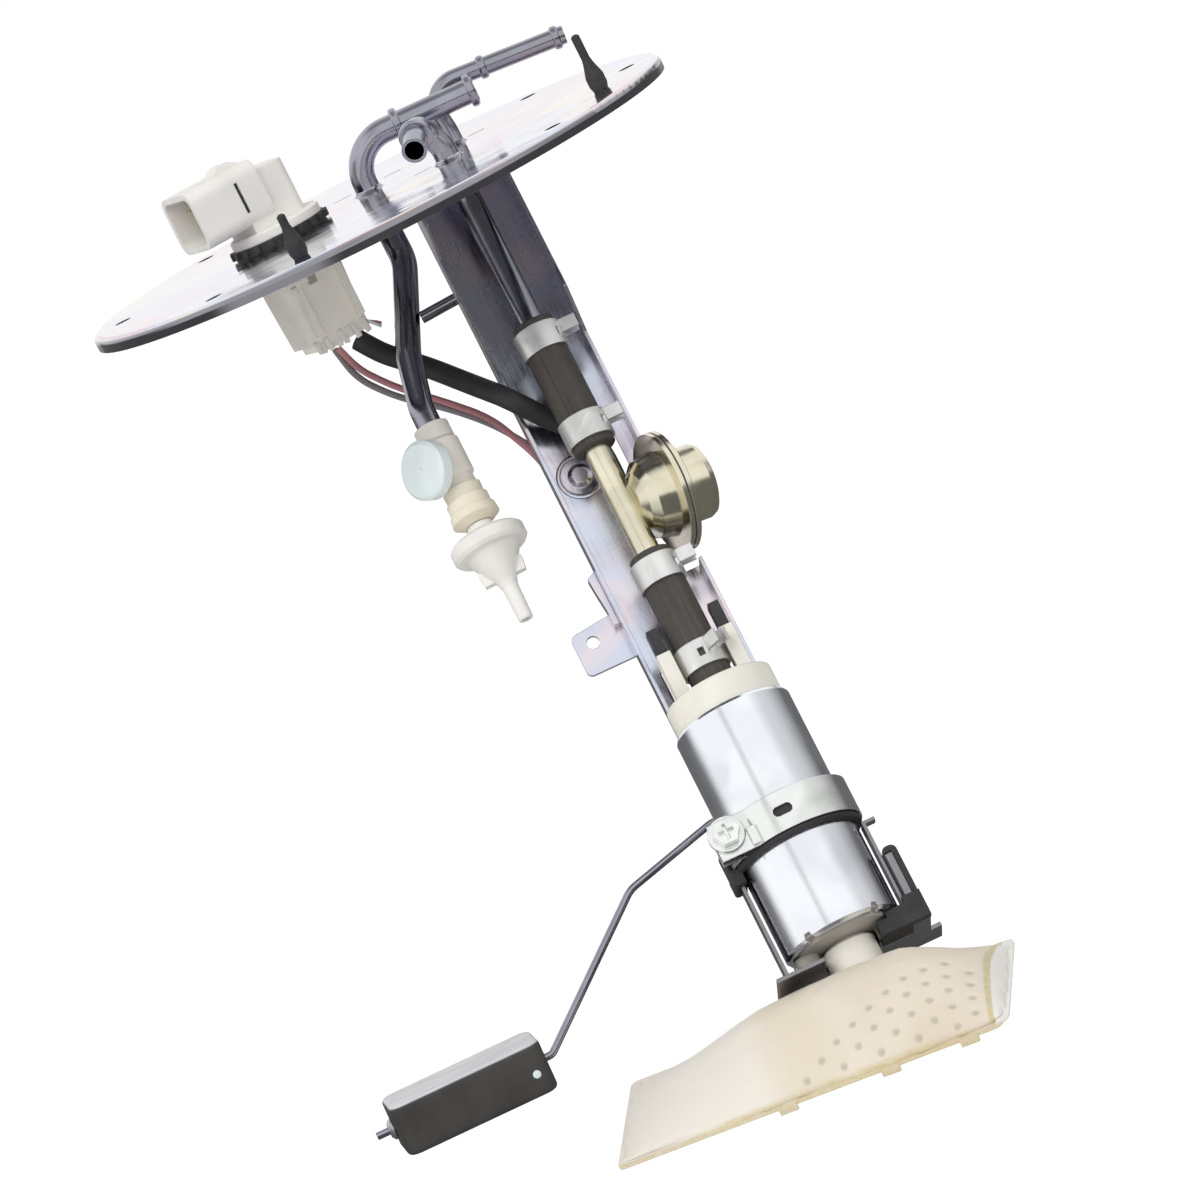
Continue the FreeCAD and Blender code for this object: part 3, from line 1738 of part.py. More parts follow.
def make_band():
    ring = new_body("band_cushion", HANG)
    inner = can_radius + 0.05
    outer = inner + cushion_thick
    turned(
        ring,
        "cushion_turn",
        [
            (inner, -band_top - cushion_height),
            (outer, -band_top - cushion_height),
            (outer + 0.5, -band_top - cushion_height + 1),
            (outer + 0.5, -band_top - band_width - 0.4),
            (outer, -band_top - band_width - 0.2),
            (outer, -band_top - 0.4),
            (outer - 0.4, -band_top),
            (inner, -band_top),
        ],
    )
    web_cut = sketch_on(ring, "web_side_outline", "XY_Plane", -band_top + 1)
    half = web_width / 2
    edge = web_back - flange_depth * 0.72 - 0.25
    inside = half - web_thick - 0.25
    polygon(
        web_cut,
        [
            (-half - 0.3, edge),
            (-inside, edge),
            (-inside, web_front - 0.1),
            (inside, web_front - 0.1),
            (inside, edge),
            (half + 0.3, edge),
            (half + 0.3, outer + 2),
            (-half - 0.3, outer + 2),
        ],
    )
    pocketed(ring, "web_side", web_cut, cushion_height + 2)
    below = -band_top - band_width - 0.1
    outside = -outer - band_thick - 0.1
    flap_low = -arm_top - flap_lap
    flap = sketch_on(ring, "flap_outline", "XY_Plane", flap_low)
    rectangle(flap, outside - 1.1, -6.5, -inner - 0.1, 6.5)
    padded(ring, "flap", flap, below - flap_low)
    rounded(
        ring,
        "flap_end",
        1,
        lambda e: along(e, Vector(0, 1, 0))
        and abs(e.BoundBox.ZMax - float(flap_low)) < 1e-3
        and e.BoundBox.XMax < -float(outer),
    )
    ear = sketch_on(ring, "ear_outline", "XY_Plane", below - 0.5)
    rectangle(ear, outside - 1.1, -4.5, outside, 4.5)
    padded(ring, "ear", ear, 8)
    arm_space = sketch_on(ring, "arm_space", "XY_Plane", -arm_top + 0.3)
    arm = can_radius + 1.2
    rectangle(arm_space, -arm - 1.2, -arm_width / 2 - 0.1, -arm + 0.1, arm_width / 2 + 0.1)
    pocketed(ring, "arm_space_cut", arm_space, 6)
    side = half + 0.1 + band_thick + 0.05
    lip = sketch_on(ring, "guard_lip", "XY_Plane", below - 1.7)
    polygon(
        lip,
        [(side, 10), (side + 1.6, 10), (side + 1.6, 17.6), (16.4, 17.6), (16.4, 11.4)],
    )
    padded(ring, "guard_foot", lip, 1.7)
    guard = sketch_on(ring, "guard_outline", "XY_Plane", below - 0.4)
    polygon(
        guard,
        [(side + 1.6, 12.4), (side + 1.6, 17.6), (side, 17.6), (side, 14.5)],
    )
    padded(ring, "guard", guard, band_width)
    grooves = sketch_on(ring, "groove_outline", "XZ_Plane")
    for step in (2.2, 5, 7.8, 10.6):
        rectangle(grooves, side + 1.1, below + step, side + 2, below + step + 1)
    pocketed(ring, "grooves", grooves, 30)
    keep("band_cushion", ring)

    band = new_body("band_clamp", HANG)
    hold = outer + 0.05
    far = hold + band_thick
    low = -band_top - band_width
    wide = half + 0.1
    back = web_back + 0.05
    loop = sketch_on(band, "loop_outline", "XY_Plane", low)
    circle(loop, 0, 0, far)
    padded(band, "loop", loop, band_width)
    tail = sketch_on(band, "back_outline", "XY_Plane", low)
    rectangle(tail, -wide - band_thick, 8, wide + band_thick, back + band_thick)
    padded(band, "loop_back", tail, band_width)
    inner_loop = sketch_on(band, "can_outline", "XY_Plane", low - 1)
    circle(inner_loop, 0, 0, hold)
    pocketed(band, "can_space", inner_loop, band_width + 2, reverse=True)
    inner_back = sketch_on(band, "web_outline", "XY_Plane", low - 1)
    rectangle(inner_back, -wide, 8, wide, back)
    pocketed(band, "web_space", inner_back, band_width + 2, reverse=True)
    lugs = sketch_on(band, "lug_outline", "XY_Plane", low)
    reach = -screw_offset - 4.6
    rectangle(lugs, reach, -18.6, -12.2, -17.5)
    rectangle(lugs, reach, -13.6, -17.2, -12.5)
    padded(band, "lugs", lugs, band_width)
    gap = sketch_on(band, "gap_outline", "XY_Plane", low - 1)
    rectangle(gap, -far - 1, -17.5, -12, -13.6)
    pocketed(band, "band_gap", gap, band_width + 2, reverse=True)
    nut = sketch_on(band, "nut_outline", "XY_Plane", low + 0.5)
    rectangle(nut, -13.9, -20.4, -11.2, -18.4)
    padded(band, "nut", nut, 6)
    bolt = sketch_on(band, "bolt_hole_outline", "XZ_Plane", 12.2)
    middle = low + band_width / 2
    circle(bolt, -screw_offset, middle + 1.2, screw_radius + 0.05)
    pocketed(band, "bolt_hole", bolt, 8, reverse=True)
    window = sketch_on(band, "window_outline", "XZ_Plane")
    polygon(
        window,
        [
            (-3.3, middle - 1.55),
            (0.5, middle - 1.55),
            (1.4, middle - 1.1),
            (1.8, middle),
            (1.4, middle + 1.1),
            (0.5, middle + 1.55),
            (-3.3, middle + 1.55),
            (-4.2, middle + 1.1),
            (-4.6, middle),
            (-4.2, middle - 1.1),
        ],
    )
    pocketed(band, "window", window, can_radius + 5, reverse=True)
    keep("band_clamp", band)

    screw = new_body(
        "band_screw",
        HANG.multiply(
            Placement(
                Vector(-float(screw_offset), -18.65, float(middle) + 1.2),
                Rotation(Vector(1, 0, 0), 90),
            )
        ),
    )
    turned(
        screw,
        "screw_turn",
        [
            (0, -6.4),
            (screw_radius, -6.4),
            (screw_radius, 0.02),
            (washer_radius, 0.02),
            (washer_radius, 0.9),
            (washer_radius - 0.4, 1.2),
            (0, 1.2),
        ],
    )
    hexagon = sketch_on(screw, "hexagon_outline", "XY_Plane", 1.1)
    polygon(hexagon, [polar(4.5, 60 * i) for i in range(6)])
    padded(screw, "hexagon", hexagon, 3.1)
    cross = sketch_on(screw, "cross_outline", "XY_Plane", 4.2)
    polygon(
        cross,
        [
            (-2.4, -0.5),
            (-0.5, -0.5),
            (-0.5, -2.4),
            (0.5, -2.4),
            (0.5, -0.5),
            (2.4, -0.5),
            (2.4, 0.5),
            (0.5, 0.5),
            (0.5, 2.4),
            (-0.5, 2.4),
            (-0.5, 0.5),
            (-2.4, 0.5),
        ],
    )
    pocketed(screw, "cross", cross, 1.6)
    keep("band_screw", screw)


def make_cradle():
    shelf_top = -hang_length
    body = new_body("pump_cradle", HANG)
    plate = sketch_on(body, "shelf_outline", "XY_Plane", shelf_top - shelf_thick)
    notch = collar_radius + 0.8
    polygon(
        plate,
        [
            (-shelf_half, -shelf_front),
            (-notch, -shelf_front),
            (-notch, 0),
            (notch, 0),
            (notch, shelf_step),
            (post_middle - 3, shelf_step),
            (post_middle - 3, -5.2),
            (post_middle + 2.8, -5.2),
            (post_middle + 2.8, shelf_step + 6),
            (shelf_half + 4.5, shelf_step + 6),
            (shelf_half + 4.5, web_back),
            (-shelf_half, web_back),
        ],
    )
    padded(body, "shelf", plate, shelf_thick)
    hole = sketch_on(body, "neck_hole_outline", "XY_Plane", shelf_top)
    circle(hole, 0, 0, notch)
    pocketed(body, "neck_hole", hole, shelf_thick + 1)
    arms = sketch_on(body, "arm_outline", "XY_Plane", shelf_top - 0.2)
    inside = can_radius + 1.2
    rectangle(arms, -inside - 1.1, -arm_width / 2, -inside, arm_width / 2)
    rectangle(arms, inside, -arm_width / 2, inside + 1.1, arm_width / 2)
    padded(body, "arms", arms, hang_length - arm_top + 0.2)
    strip = sketch_on(body, "strip_outline", "XY_Plane", shelf_top - 0.2)
    rectangle(strip, post_middle - 1.2, -5, post_middle + 1.2, -3.9)
    padded(body, "strip", strip, post_height - 1.9)
    curl = sketch_on(body, "curl_outline", "XY_Plane", -arm_top - 1.1)
    rectangle(curl, inside, -arm_width / 2, inside + 4.4, 0)
    padded(body, "curl", curl, 1.1)
    keep("pump_cradle", body)


def make_base_cushion():
    """Rubber between the pump and the shelf, with a post up the right arm."""
    shelf_top = -hang_length
    body = new_body("base_cushion", HANG)
    outline = sketch_on(body, "cushion_outline", "XY_Plane", shelf_top)
    near = collar_radius + 1.3
    arm = can_radius + 1.2
    rectangle(outline, near, -9, post_middle + 3, 13.8)
    padded(body, "cushion", outline, can_bottom_gap - 0.1)
    lip = sketch_on(body, "lip_outline", "XY_Plane", shelf_top - shelf_thick)
    polygon(
        lip,
        [
            (near, -9),
            (post_middle + 3, -9),
            (post_middle + 3, -5.25),
            (post_middle - 3.05, -5.25),
            (post_middle - 3.05, shelf_step - 0.05),
            (near, shelf_step - 0.05),
        ],
    )
    padded(body, "lip", lip, shelf_thick + 0.5)
    hole = sketch_on(body, "lobe_space", "XY_Plane", shelf_top)
    circle(hole, lobe_offset, -0.5, lobe_radius + 0.5)
    pocketed(body, "lobe_space_cut", hole, can_bottom_gap + 1, reverse=True)
    inside = sketch_on(body, "cover_space", "XY_Plane", -can_bottom - 2)
    circle(inside, 0, 0, can_radius - can_wall - 1.8)
    pocketed(body, "cover_space_cut", inside, 4, reverse=True)
    strip = sketch_on(body, "strip_space", "XY_Plane", shelf_top)
    rectangle(strip, post_middle - 1.3, -5.6, post_middle + 1.3, -3.8)
    rectangle(strip, arm - 0.1, -arm_width / 2 - 0.1, arm + 1.15, arm_width / 2 + 0.1)
    pocketed(body, "strip_space_cut", strip, can_bottom_gap + 1, reverse=True)
    post = sketch_on(body, "post_outline", "XY_Plane", shelf_top)
    left = arm + 1.2
    right = post_middle + 3
    rectangle(post, left, -5.6, right, 4)
    padded(body, "post", post, hang_length - post_top)
    rounded(
        body,
        "post_top_round",
        2,
        lambda e: along(e, Vector(0, 1, 0)) and abs(e.BoundBox.ZMin + float(post_top)) < 1e-3,
    )
    recess = sketch_on(body, "recess_outline", "XZ_Plane", 5.6)
    rectangle(recess, post_middle - 1.3, shelf_top, post_middle + 1.3, -post_top - 1.9)
    pocketed(body, "recess", recess, 1.8)
    foot = sketch_on(body, "foot_outline", "XY_Plane", shelf_top)
    rectangle(foot, post_middle - 3, -9, post_middle + 3, -5.6)
    padded(body, "foot", foot, foot_height)
    keep("base_cushion", body)


# Level sender and float

PIVOT = (0.0, float(arm_plane), -float(sender_level))


def make_sender():
    housing = new_body("sender_housing", HANG)
    back = web_back
    outline = sketch_on(housing, "housing_outline", "XZ_Plane", -back - sender_depth)
    half = sender_width / 2
    top = -sender_level - sender_foot + sender_length
    rectangle(outline, -half, top - sender_length, half, top)
    padded(housing, "housing", outline, sender_depth)
    rounded(
        housing,
        "housing_corners",
        2.5,
        lambda e: along(e, Vector(0, 1, 0)),
    )
    pocket_sketch = sketch_on(housing, "card_pocket_outline", "XZ_Plane", -back - sender_depth)
    rectangle(pocket_sketch, -10.5, -sender_level + 1, 10.5, top - 3)
    pocketed(housing, "card_pocket", pocket_sketch, 1.2, reverse=True)
    plug = sketch_on(housing, "lead_boss_outline", "XY_Plane", top - 0.5)
    rectangle(plug, -13.9, back + 0.4, -7.9, back + 4.6)
    padded(housing, "lead_boss", plug, 4)
    keep("sender_housing", housing)

    card = new_body("sender_card", HANG)
    face = sketch_on(card, "card_outline", "XZ_Plane", -back - sender_depth + 1.2)
    rectangle(face, -10.4, -sender_level + 1.1, 10.4, top - 3.1)
    padded(card, "card", face, 0.8, reverse=True)
    keep("sender_card", card)

    hub = new_body(
        "wiper_hub",
        HANG.multiply(
            Placement(
                Vector(0, float(back + sender_depth) + 0.25, -float(sender_level)),
                Rotation(Vector(1, 0, 0), -90),
            )
        ),
    )
    turned(
        hub,
        "hub_turn",
        [(0, 0), (5.2, 0), (5.2, 4.2), (4.4, 5), (0, 5)],
    )
    wiper = sketch_on(hub, "wiper_outline", "XY_Plane", 0)
    polygon(wiper, [(-1.6, 0), (1.6, 0), (1, -15), (-1, -15)])
    padded(hub, "wiper", wiper, 0.7)
    keep("wiper_hub", hub)


def arm_points():
    level = PIVOT[2]
    rod = level - float(float_drop)
    return [
        (-5.4, level - 0.3),
        (-17.2, level + 1.5),
        (-49.7, level - 7.2),
        (-float(float_reach) + float(float_length) / 2 + 2.8, rod),
        (-float(float_reach) - float(float_length) / 2 - 6, rod),
    ]


FLOAT = HANG.multiply(
    Placement(
        Vector(-float(float_reach), PIVOT[1], PIVOT[2] - float(float_drop)),
        Rotation(Vector(1, 0, 0), float(lean)),
    )
)


def make_float_arm():
    level = float(PIVOT[2])
    points = [(x, PIVOT[1], z) for x, z in arm_points()]
    points = [tuple(HANG.multVec(Vector(*point))) for point in points]
    radii = [8, 10, 3.2]
    wire = swept(tangent_route(points, radii), arm_wire_radius)
    keep("float_arm", shaped("float_arm", wire))


def make_float():
    body = new_body("float_block", FLOAT)
    half = float_length / 2
    outline = sketch_on(body, "float_outline", "YZ_Plane", -half)
    rectangle(
        outline, -float_depth / 2, -float_height / 2, float_depth / 2, float_height / 2
    )
    padded(body, "float_pad", outline, float_length)
    rounded(
        body,
        "float_edges",
        float_round,
        lambda e: along(e, Vector(0, 0, 1)),
    )
    rounded(
        body,
        "float_top_edges",
        1.6,
        lambda e: abs(abs(e.BoundBox.ZMin) - float(float_height) / 2) < 1e-3
        and e.BoundBox.ZLength < 1e-3
        and not e.Closed,
    )
    hole = sketch_on(body, "rod_hole_outline", "YZ_Plane", -half - 1)
    circle(hole, 0, 0, arm_wire_radius + 0.08)
    pocketed(body, "rod_hole", hole, float_length + 2, reverse=True)
    keep("float_block", body)

    nut = new_body(
        "float_retainer",
        FLOAT.multiply(Placement(Vector(-float(half), 0, 0), Rotation(Vector(0, 1, 0), -90))),
    )
    turned(
        nut,
        "retainer_turn",
        [
            (arm_wire_radius, 0.3),
            (3.4, 0.3),
            (3.4, 1),
            (2.2, 1.9),
            (arm_wire_radius, 1.9),
        ],
    )
    keep("float_retainer", nut)


# Strainer


def make_strainer():
    body = new_body("strainer_sock", SOCK)
    sections = []
    half = sock_length / 2
    shares = (
        (-1, 0.03, 0.2, 0.94),
        (-0.93, 0.2, 0.5, 1),
        (-0.8, 0.34, 0.8, 1),
        (-0.5, 0.61, 1, 1),
        (-0.23, 0.85, 1, 1),
        (0.05, 0.96, 1, 1),
        (0.3, 1, 1, 1),
        (0.58, 1, 1, 1),
        (0.76, 0.76, 0.9, 1),
        (0.92, 0.42, 0.6, 1),
        (1, 0.03, 0.2, 0.96),
    )
    for i, (at, crown, belly, wide) in enumerate(shares):
        sketch = sketch_on(body, f"sock_section_{i}", "YZ_Plane", half * at)
        across = sock_width / 2 * wide
        top = sock_crown * crown
        low = sock_belly * belly
        polygon(
            sketch,
            [
                (-across, -0.4),
                (-across * 0.7, -low),
                (across * 0.7, -low),
                (across, -0.4),
                (across, 0.4),
                (across * 0.74, top * 0.4 + 0.3),
                (across * 0.44, top * 0.71 + 0.3),
                (across * 0.18, top * 0.97 + 0.3),
                (-across * 0.1, top * 0.96 + 0.3),
                (-across * 0.49, top * 0.71 + 0.3),
                (-across * 0.77, top * 0.4 + 0.3),
                (-across, 0.4),
            ],
        )
        sections.append(sketch)
    loft = body.newObject("PartDesign::AdditiveLoft", "sock_loft")
    loft.Profile = sections[0]
    loft.Sections = sections[1:]
    loft.Ruled = True
    doc.recompute()
    sock_hole = cylinder("sock_hole", collar_radius + 0.1, collar_hole_depth)
    hole_holder = group("sock_hole_place", [sock_hole])
    hole_holder.Placement = HANG.multiply(
        Placement(Vector(0, 0, -float(collar_end) - 0.3), Rotation())
    )
    bag = less("strainer_bag", body, hole_holder)
    keep("strainer_sock", bag)

    collar = new_body("strainer_fitting", HANG)
    top = -can_bottom - 2.1
    turned(
        collar,
        "collar_turn",
        [
            (inlet_neck_radius + 0.05, -collar_end),
            (collar_radius, -collar_end),
            (collar_radius, top - 1),
            (collar_radius - 0.6, top - 0.4),
            (inlet_neck_radius + 0.05, top - 0.4),
        ],
    )
    keep("strainer_fitting", collar)


collar_end = can_bottom + collar_length + 10
collar_hole_depth = collar_length + 16


def make_bracket_rivet():
    rivet = new_body(
        "bracket_rivet",
        HANG.multiply(
            Placement(
                Vector(-6, float(web_front), -107.5), Rotation(Vector(1, 0, 0), 90)
            )
        ),
    )
    turned(
        rivet,
        "rivet_turn",
        [
            (0, -float(web_thick) - 1.2),
            (3.4, -float(web_thick) - 1.2),
            (3.4, -float(web_thick)),
            (2.4, -float(web_thick)),
            (2.4, 0),
            (4, 0),
            (4, 0.6),
            (2.6, 1.5),
            (0, 1.5),
        ],
    )
    keep("bracket_rivet", rivet)


def make_all():
    make_flange_plate()
    make_flange_gasket()
    make_connector_socket()
    make_connector_pins()
    make_connector_lock_ring()
    make_connector_seal()
    make_connector_plug()
    make_vent_pipe()
    make_feed_pipe()
    make_return_pipe()
    make_pipe_stay()
    make_hanger_bracket()
    make_bracket_tab()
    make_hose("upper_hose", upper_hose_top, upper_hose_length)
    make_hose("lower_hose", lower_hose_top, lower_hose_length)
    make_hose_clamp("hose_clamp_1", upper_hose_top + clamp_inset)
    make_hose_clamp(
        "hose_clamp_2", upper_hose_top + upper_hose_length - clamp_width - clamp_inset
    )
    make_hose_clamp("hose_clamp_3", lower_hose_top + clamp_inset)
    make_hose_clamp(
        "hose_clamp_4",
        lower_hose_top + lower_hose_length - clamp_width - clamp_inset - 4,
        -52,
    )
    make_damper()
    make_power_sleeve()
    make_pump_leads()
    make_sender_leads()
    make_valve()
    make_pump_shell()
    make_pump_outlet_cap()
    make_pump_terminals()
    make_check_valve()
    make_motor()
    make_bearings()
    make_impeller()
    make_pump_casing()
    make_inlet_cover()
    make_band()
    make_cradle()
    make_base_cushion()
    make_sender()
    make_float_arm()
    make_float()
    make_strainer()
    make_bracket_rivet()


make_all()
doc.recompute()
faults = []
for thing in doc.Objects:
    if "Invalid" in thing.State or "Error" in thing.State:
        faults.append(thing.Name)
for node, thing in NODES.items():
    if thing.Shape.isNull() or not thing.Shape.isValid():
        faults.append(node)
if faults:
    raise RuntimeError("not sound: " + ", ".join(sorted(set(faults))))
for node, thing in NODES.items():
    thing.Shape.exportStep(f"parts/{node}.step")
print(len(NODES), "nodes written")
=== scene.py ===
"""Tank pump module: finishes, strainer bag, small fittings and studio round the packed frame."""

import json
import math

import bmesh
import bpy
from bpy.props import FloatProperty, FloatVectorProperty, PointerProperty
from mathutils import Matrix, Vector


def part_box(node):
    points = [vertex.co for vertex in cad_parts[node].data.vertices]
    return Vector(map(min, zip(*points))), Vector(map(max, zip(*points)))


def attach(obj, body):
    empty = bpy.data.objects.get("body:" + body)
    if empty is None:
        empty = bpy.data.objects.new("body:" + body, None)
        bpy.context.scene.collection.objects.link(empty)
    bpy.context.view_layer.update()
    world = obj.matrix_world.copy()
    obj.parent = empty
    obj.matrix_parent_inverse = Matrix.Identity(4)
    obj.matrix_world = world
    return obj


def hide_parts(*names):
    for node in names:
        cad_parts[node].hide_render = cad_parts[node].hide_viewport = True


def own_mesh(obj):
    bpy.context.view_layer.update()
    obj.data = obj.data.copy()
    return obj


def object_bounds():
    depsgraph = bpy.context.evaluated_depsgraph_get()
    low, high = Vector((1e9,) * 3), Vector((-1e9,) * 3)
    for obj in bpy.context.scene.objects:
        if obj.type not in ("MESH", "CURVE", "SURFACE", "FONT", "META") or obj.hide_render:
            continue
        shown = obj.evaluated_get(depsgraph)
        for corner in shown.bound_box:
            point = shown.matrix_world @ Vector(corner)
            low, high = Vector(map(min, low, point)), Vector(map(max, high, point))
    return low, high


bl_info = {
    "name": "Tank pump module",
    "version": (1, 1, 0),
    "blender": (4, 5, 0),
    "location": "View3D > Sidebar > Pump module",
    "description": "Dresses a hanging tank pump module: plating, hoses, leads, strainer and studio",
    "category": "Object",
}

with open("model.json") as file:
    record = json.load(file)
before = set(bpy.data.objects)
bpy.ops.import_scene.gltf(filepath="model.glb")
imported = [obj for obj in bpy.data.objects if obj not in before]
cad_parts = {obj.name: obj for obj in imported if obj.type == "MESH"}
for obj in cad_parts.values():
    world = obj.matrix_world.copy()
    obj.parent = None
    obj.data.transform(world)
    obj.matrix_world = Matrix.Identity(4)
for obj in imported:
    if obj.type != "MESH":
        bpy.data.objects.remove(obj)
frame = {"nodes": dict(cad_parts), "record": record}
CAD_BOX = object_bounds()
NODES = frame["nodes"]
# The frame's plain colours give way to the finishes below, which take their names.
for plain in list(bpy.data.materials):
    bpy.data.materials.remove(plain)

MM = 0.001

# The view is that of a long lens on a square picture.
FOCAL_PIXELS = 8112
PICTURE_PIXELS = 1200
SENSOR = 36
CAMERA_TARGET = Vector((5.92, 0, -147.65)) * MM
PLATE_RADIUS = 100.5 * MM


def turned(axis, degrees):
    return Matrix.Rotation(math.radians(degrees), 4, axis)


def moved(x, y, z):
    """A step in millimetres."""
    return Matrix.Translation(Vector((x, y, z)) * MM)


# Below the plate everything leans toward the viewer and is turned a little.
LEAN = 26.5
TURN = 6
HANG = moved(26, -2, 0) @ turned("X", -LEAN) @ turned("Z", TURN)
CONNECTOR = moved(-32.8, 5, 0) @ turned("Z", 25)
VALVE = moved(-18.2, -31, -68) @ turned("X", -LEAN)
SOCK_MIDDLE = HANG @ (Vector((-23.05, 3.64, -314.84)) * MM)
SOCK = Matrix.Translation(SOCK_MIDDLE) @ turned("X", 11.6) @ turned("Z", -14.7)
FLOAT_MIDDLE = sum(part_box("float_block"), Vector()) / 2
FLOAT = Matrix.Translation(FLOAT_MIDDLE) @ turned("X", -LEAN) @ turned("Z", TURN) @ turned("X", LEAN)


# Settings


def colour(name, default, description):
    return FloatVectorProperty(
        name=name, description=description, default=default, size=3, min=0, max=1, subtype="COLOR"
    )


def length(name, millimetres, description):
    start = millimetres * MM
    return FloatProperty(
        name=name, description=description, default=start, min=0, unit="LENGTH", subtype="DISTANCE"
    )


def share(name, default, description):
    return FloatProperty(
        name=name, description=description, default=default, min=0, max=1, subtype="FACTOR"
    )


def angle(name, degrees, description):
    start = math.radians(degrees)
    return FloatProperty(
        name=name, description=description, default=start, unit="ROTATION", subtype="ANGLE"
    )


class PlatingSettings(bpy.types.PropertyGroup):
    """Tints of the plated steel."""

    flange: colour("Flange", (0.80, 0.68, 0.74), "Pink zinc tint that covers most of the flange")
    flange_blue: colour("Flange, blue drift", (0.73, 0.76, 0.87), "Blue tint drifting over the flange")
    flange_cream: colour("Flange, cream drift", (0.88, 0.81, 0.72), "Cream tint on the flange")
    # Painted shade: this tint darkens the flange's rolled edge for the dark studio that the edge
    # reflects.
    painted_rim_shade: colour("Flange rim", (0.30, 0.30, 0.33), "Bare rolled edge of the flange")
    tube: colour("Pipes", (0.36, 0.365, 0.42), "Blue-grey steel of the pipes and the float arm")
    hanger: colour("Hanger", (0.74, 0.70, 0.79), "Lilac zinc tint of the hanger, foot and cradle")
    hanger_blue: colour("Hanger, blue drift", (0.68, 0.72, 0.84), "Blue tint drifting over the hanger")
    hanger_pink: colour("Hanger, pink drift", (0.83, 0.75, 0.79), "Pink tint drifting over the hanger")
    cradle: colour("Cradle", (0.30, 0.29, 0.31), "Dark steel of the cradle under the pump")
    damper: colour("Damper", (0.82, 0.77, 0.60), "Pale yellow chromate of the damper")
    can: colour("Pump can", (0.88, 0.90, 0.96), "Cool tint of the pump's steel can")
    band: colour("Band", (0.88, 0.90, 0.88), "Tint of the mounting band and its screw")
    clamp: colour("Hose clamps", (0.84, 0.84, 0.83), "Satin steel of the hose clamps")
    rubbed: colour("Rubbed edge", (0.88, 0.88, 0.90), "Bright steel where an edge is worn")
    edge: length("Edge radius", 0.4, "Radius that the light sees on a sheared edge")


class MouldingSettings(bpy.types.PropertyGroup):
    """Colours of the plastics, rubbers and the foam float."""

    ivory: colour("Connector", (0.88, 0.86, 0.81), "Ivory plastic of the connector and plug")
    # Partly painted light: the plug's cream is its own colour, made paler to make up for the shade that
    # the flange casts on it.
    plug: colour("Plug", (0.93, 0.885, 0.80), "Creamy plastic of the loose plug")
    white: colour("Valve cap", (0.80, 0.88, 0.88), "Bluish white plastic of the valve cap")
    cream: colour("Pump cap", (0.86, 0.83, 0.75), "Cream plastic of the pump's outlet cap")
    grey: colour("Inlet cover", (0.40, 0.375, 0.34), "Grey-beige plastic of the pump's inlet end")
    black: colour("Black plastic", (0.03, 0.03, 0.032), "Sender, terminals and impeller")
    rubber: colour("Rubber", (0.022, 0.022, 0.023), "Gasket, seals, cushions and sleeve")
    hose: colour("Hose", (0.042, 0.037, 0.032), "Brown-black fuel hose")
    foam: colour("Float", (0.036, 0.034, 0.032), "Charcoal skin of the float")
    # Painted sheen: the float's top face is painted pale for the sheen that it shows.
    foam_top_painted_sheen: colour("Float, top", (0.72, 0.71, 0.74), "Pale dusted top face of the float")


class StrainerSettings(bpy.types.PropertyGroup):
    """The fuel strainer bag."""

    cloth: colour("Cloth", (0.84, 0.79, 0.71), "Woven cloth of the bag")
    stained: colour("Stained cloth", (0.75, 0.655, 0.52), "Cloth of the right half, yellowed by fuel")
    # Painted shade: the yellower band along the crease stands in for the shade on the crease's steeper
    # side.
    weld_tone_and_crease_shade: colour("Crease", (0.76, 0.67, 0.50), "Warmer cloth along the crease across the bag")
    seam: colour("Seam", (0.66, 0.56, 0.32), "Heat-sealed edge, yellowed by the weld")
    pitch: length("Weld pitch", 12.4, "Distance between two spot welds in a row")
    row: length("Weld rows", 2.6, "Distance between two rows of spot welds")
    depth: length("Weld depth", 0.7, "How deep a spot weld draws the cloth in")
    swell: length("Swell", 2.2, "Furthest that the filled bag stands off its flat-laid shape")
    weave: length("Weave", 0.55, "Distance between two threads")


class LeadSettings(bpy.types.PropertyGroup):
    """The level sender's two leads and the plug's short wires."""

    first: colour("First lead", (0.20, 0.19, 0.20), "Insulation of the upper lead")
    second: colour("Second lead", (0.46, 0.20, 0.22), "Insulation of the lower lead")
    stub: length("Stub", 1.1, "Diameter of the short wires at the plug")


class StudioSettings(bpy.types.PropertyGroup):
    """Camera, lamps and the flags that metal reflects."""

    distance: length("Camera distance", 2600, "From the camera to the middle of the module")
    rise: angle("Camera rise", 8.36, "How far the camera looks down")
    roll: angle("Camera roll", 26.76, "How far the picture is turned")
    ambient: share("Ambient", 0.56, "Level of the soft light from all sides")
    key: FloatProperty(name="Key", description="Strength of the large lamp", default=1.25, min=0)
    fill: FloatProperty(name="Fill", description="Strength of the small lamp", default=0.75, min=0)
    flags: share("Flags", 0.85, "How dark the flags are that metal reflects")
    floor_drop: length("Floor drop", 450, "From the strainer's underside to the floor")


def settings(group):
    return getattr(bpy.context.scene, "pump_" + group)


def tint(group, name):
    return tuple(getattr(settings(group), name))


def shaded(main, factor):
    return tuple(min(1.0, c * factor) for c in main)


# Shader tools


def feed(tree, target, value):
    """Link a socket to the target, or set a plain value on it."""
    if isinstance(value, bpy.types.NodeSocket):
        tree.links.new(value, target)
    elif isinstance(value, tuple) and len(value) == 3 and target.type == "RGBA":
        target.default_value = (*value, 1.0)
    else:
        target.default_value = value


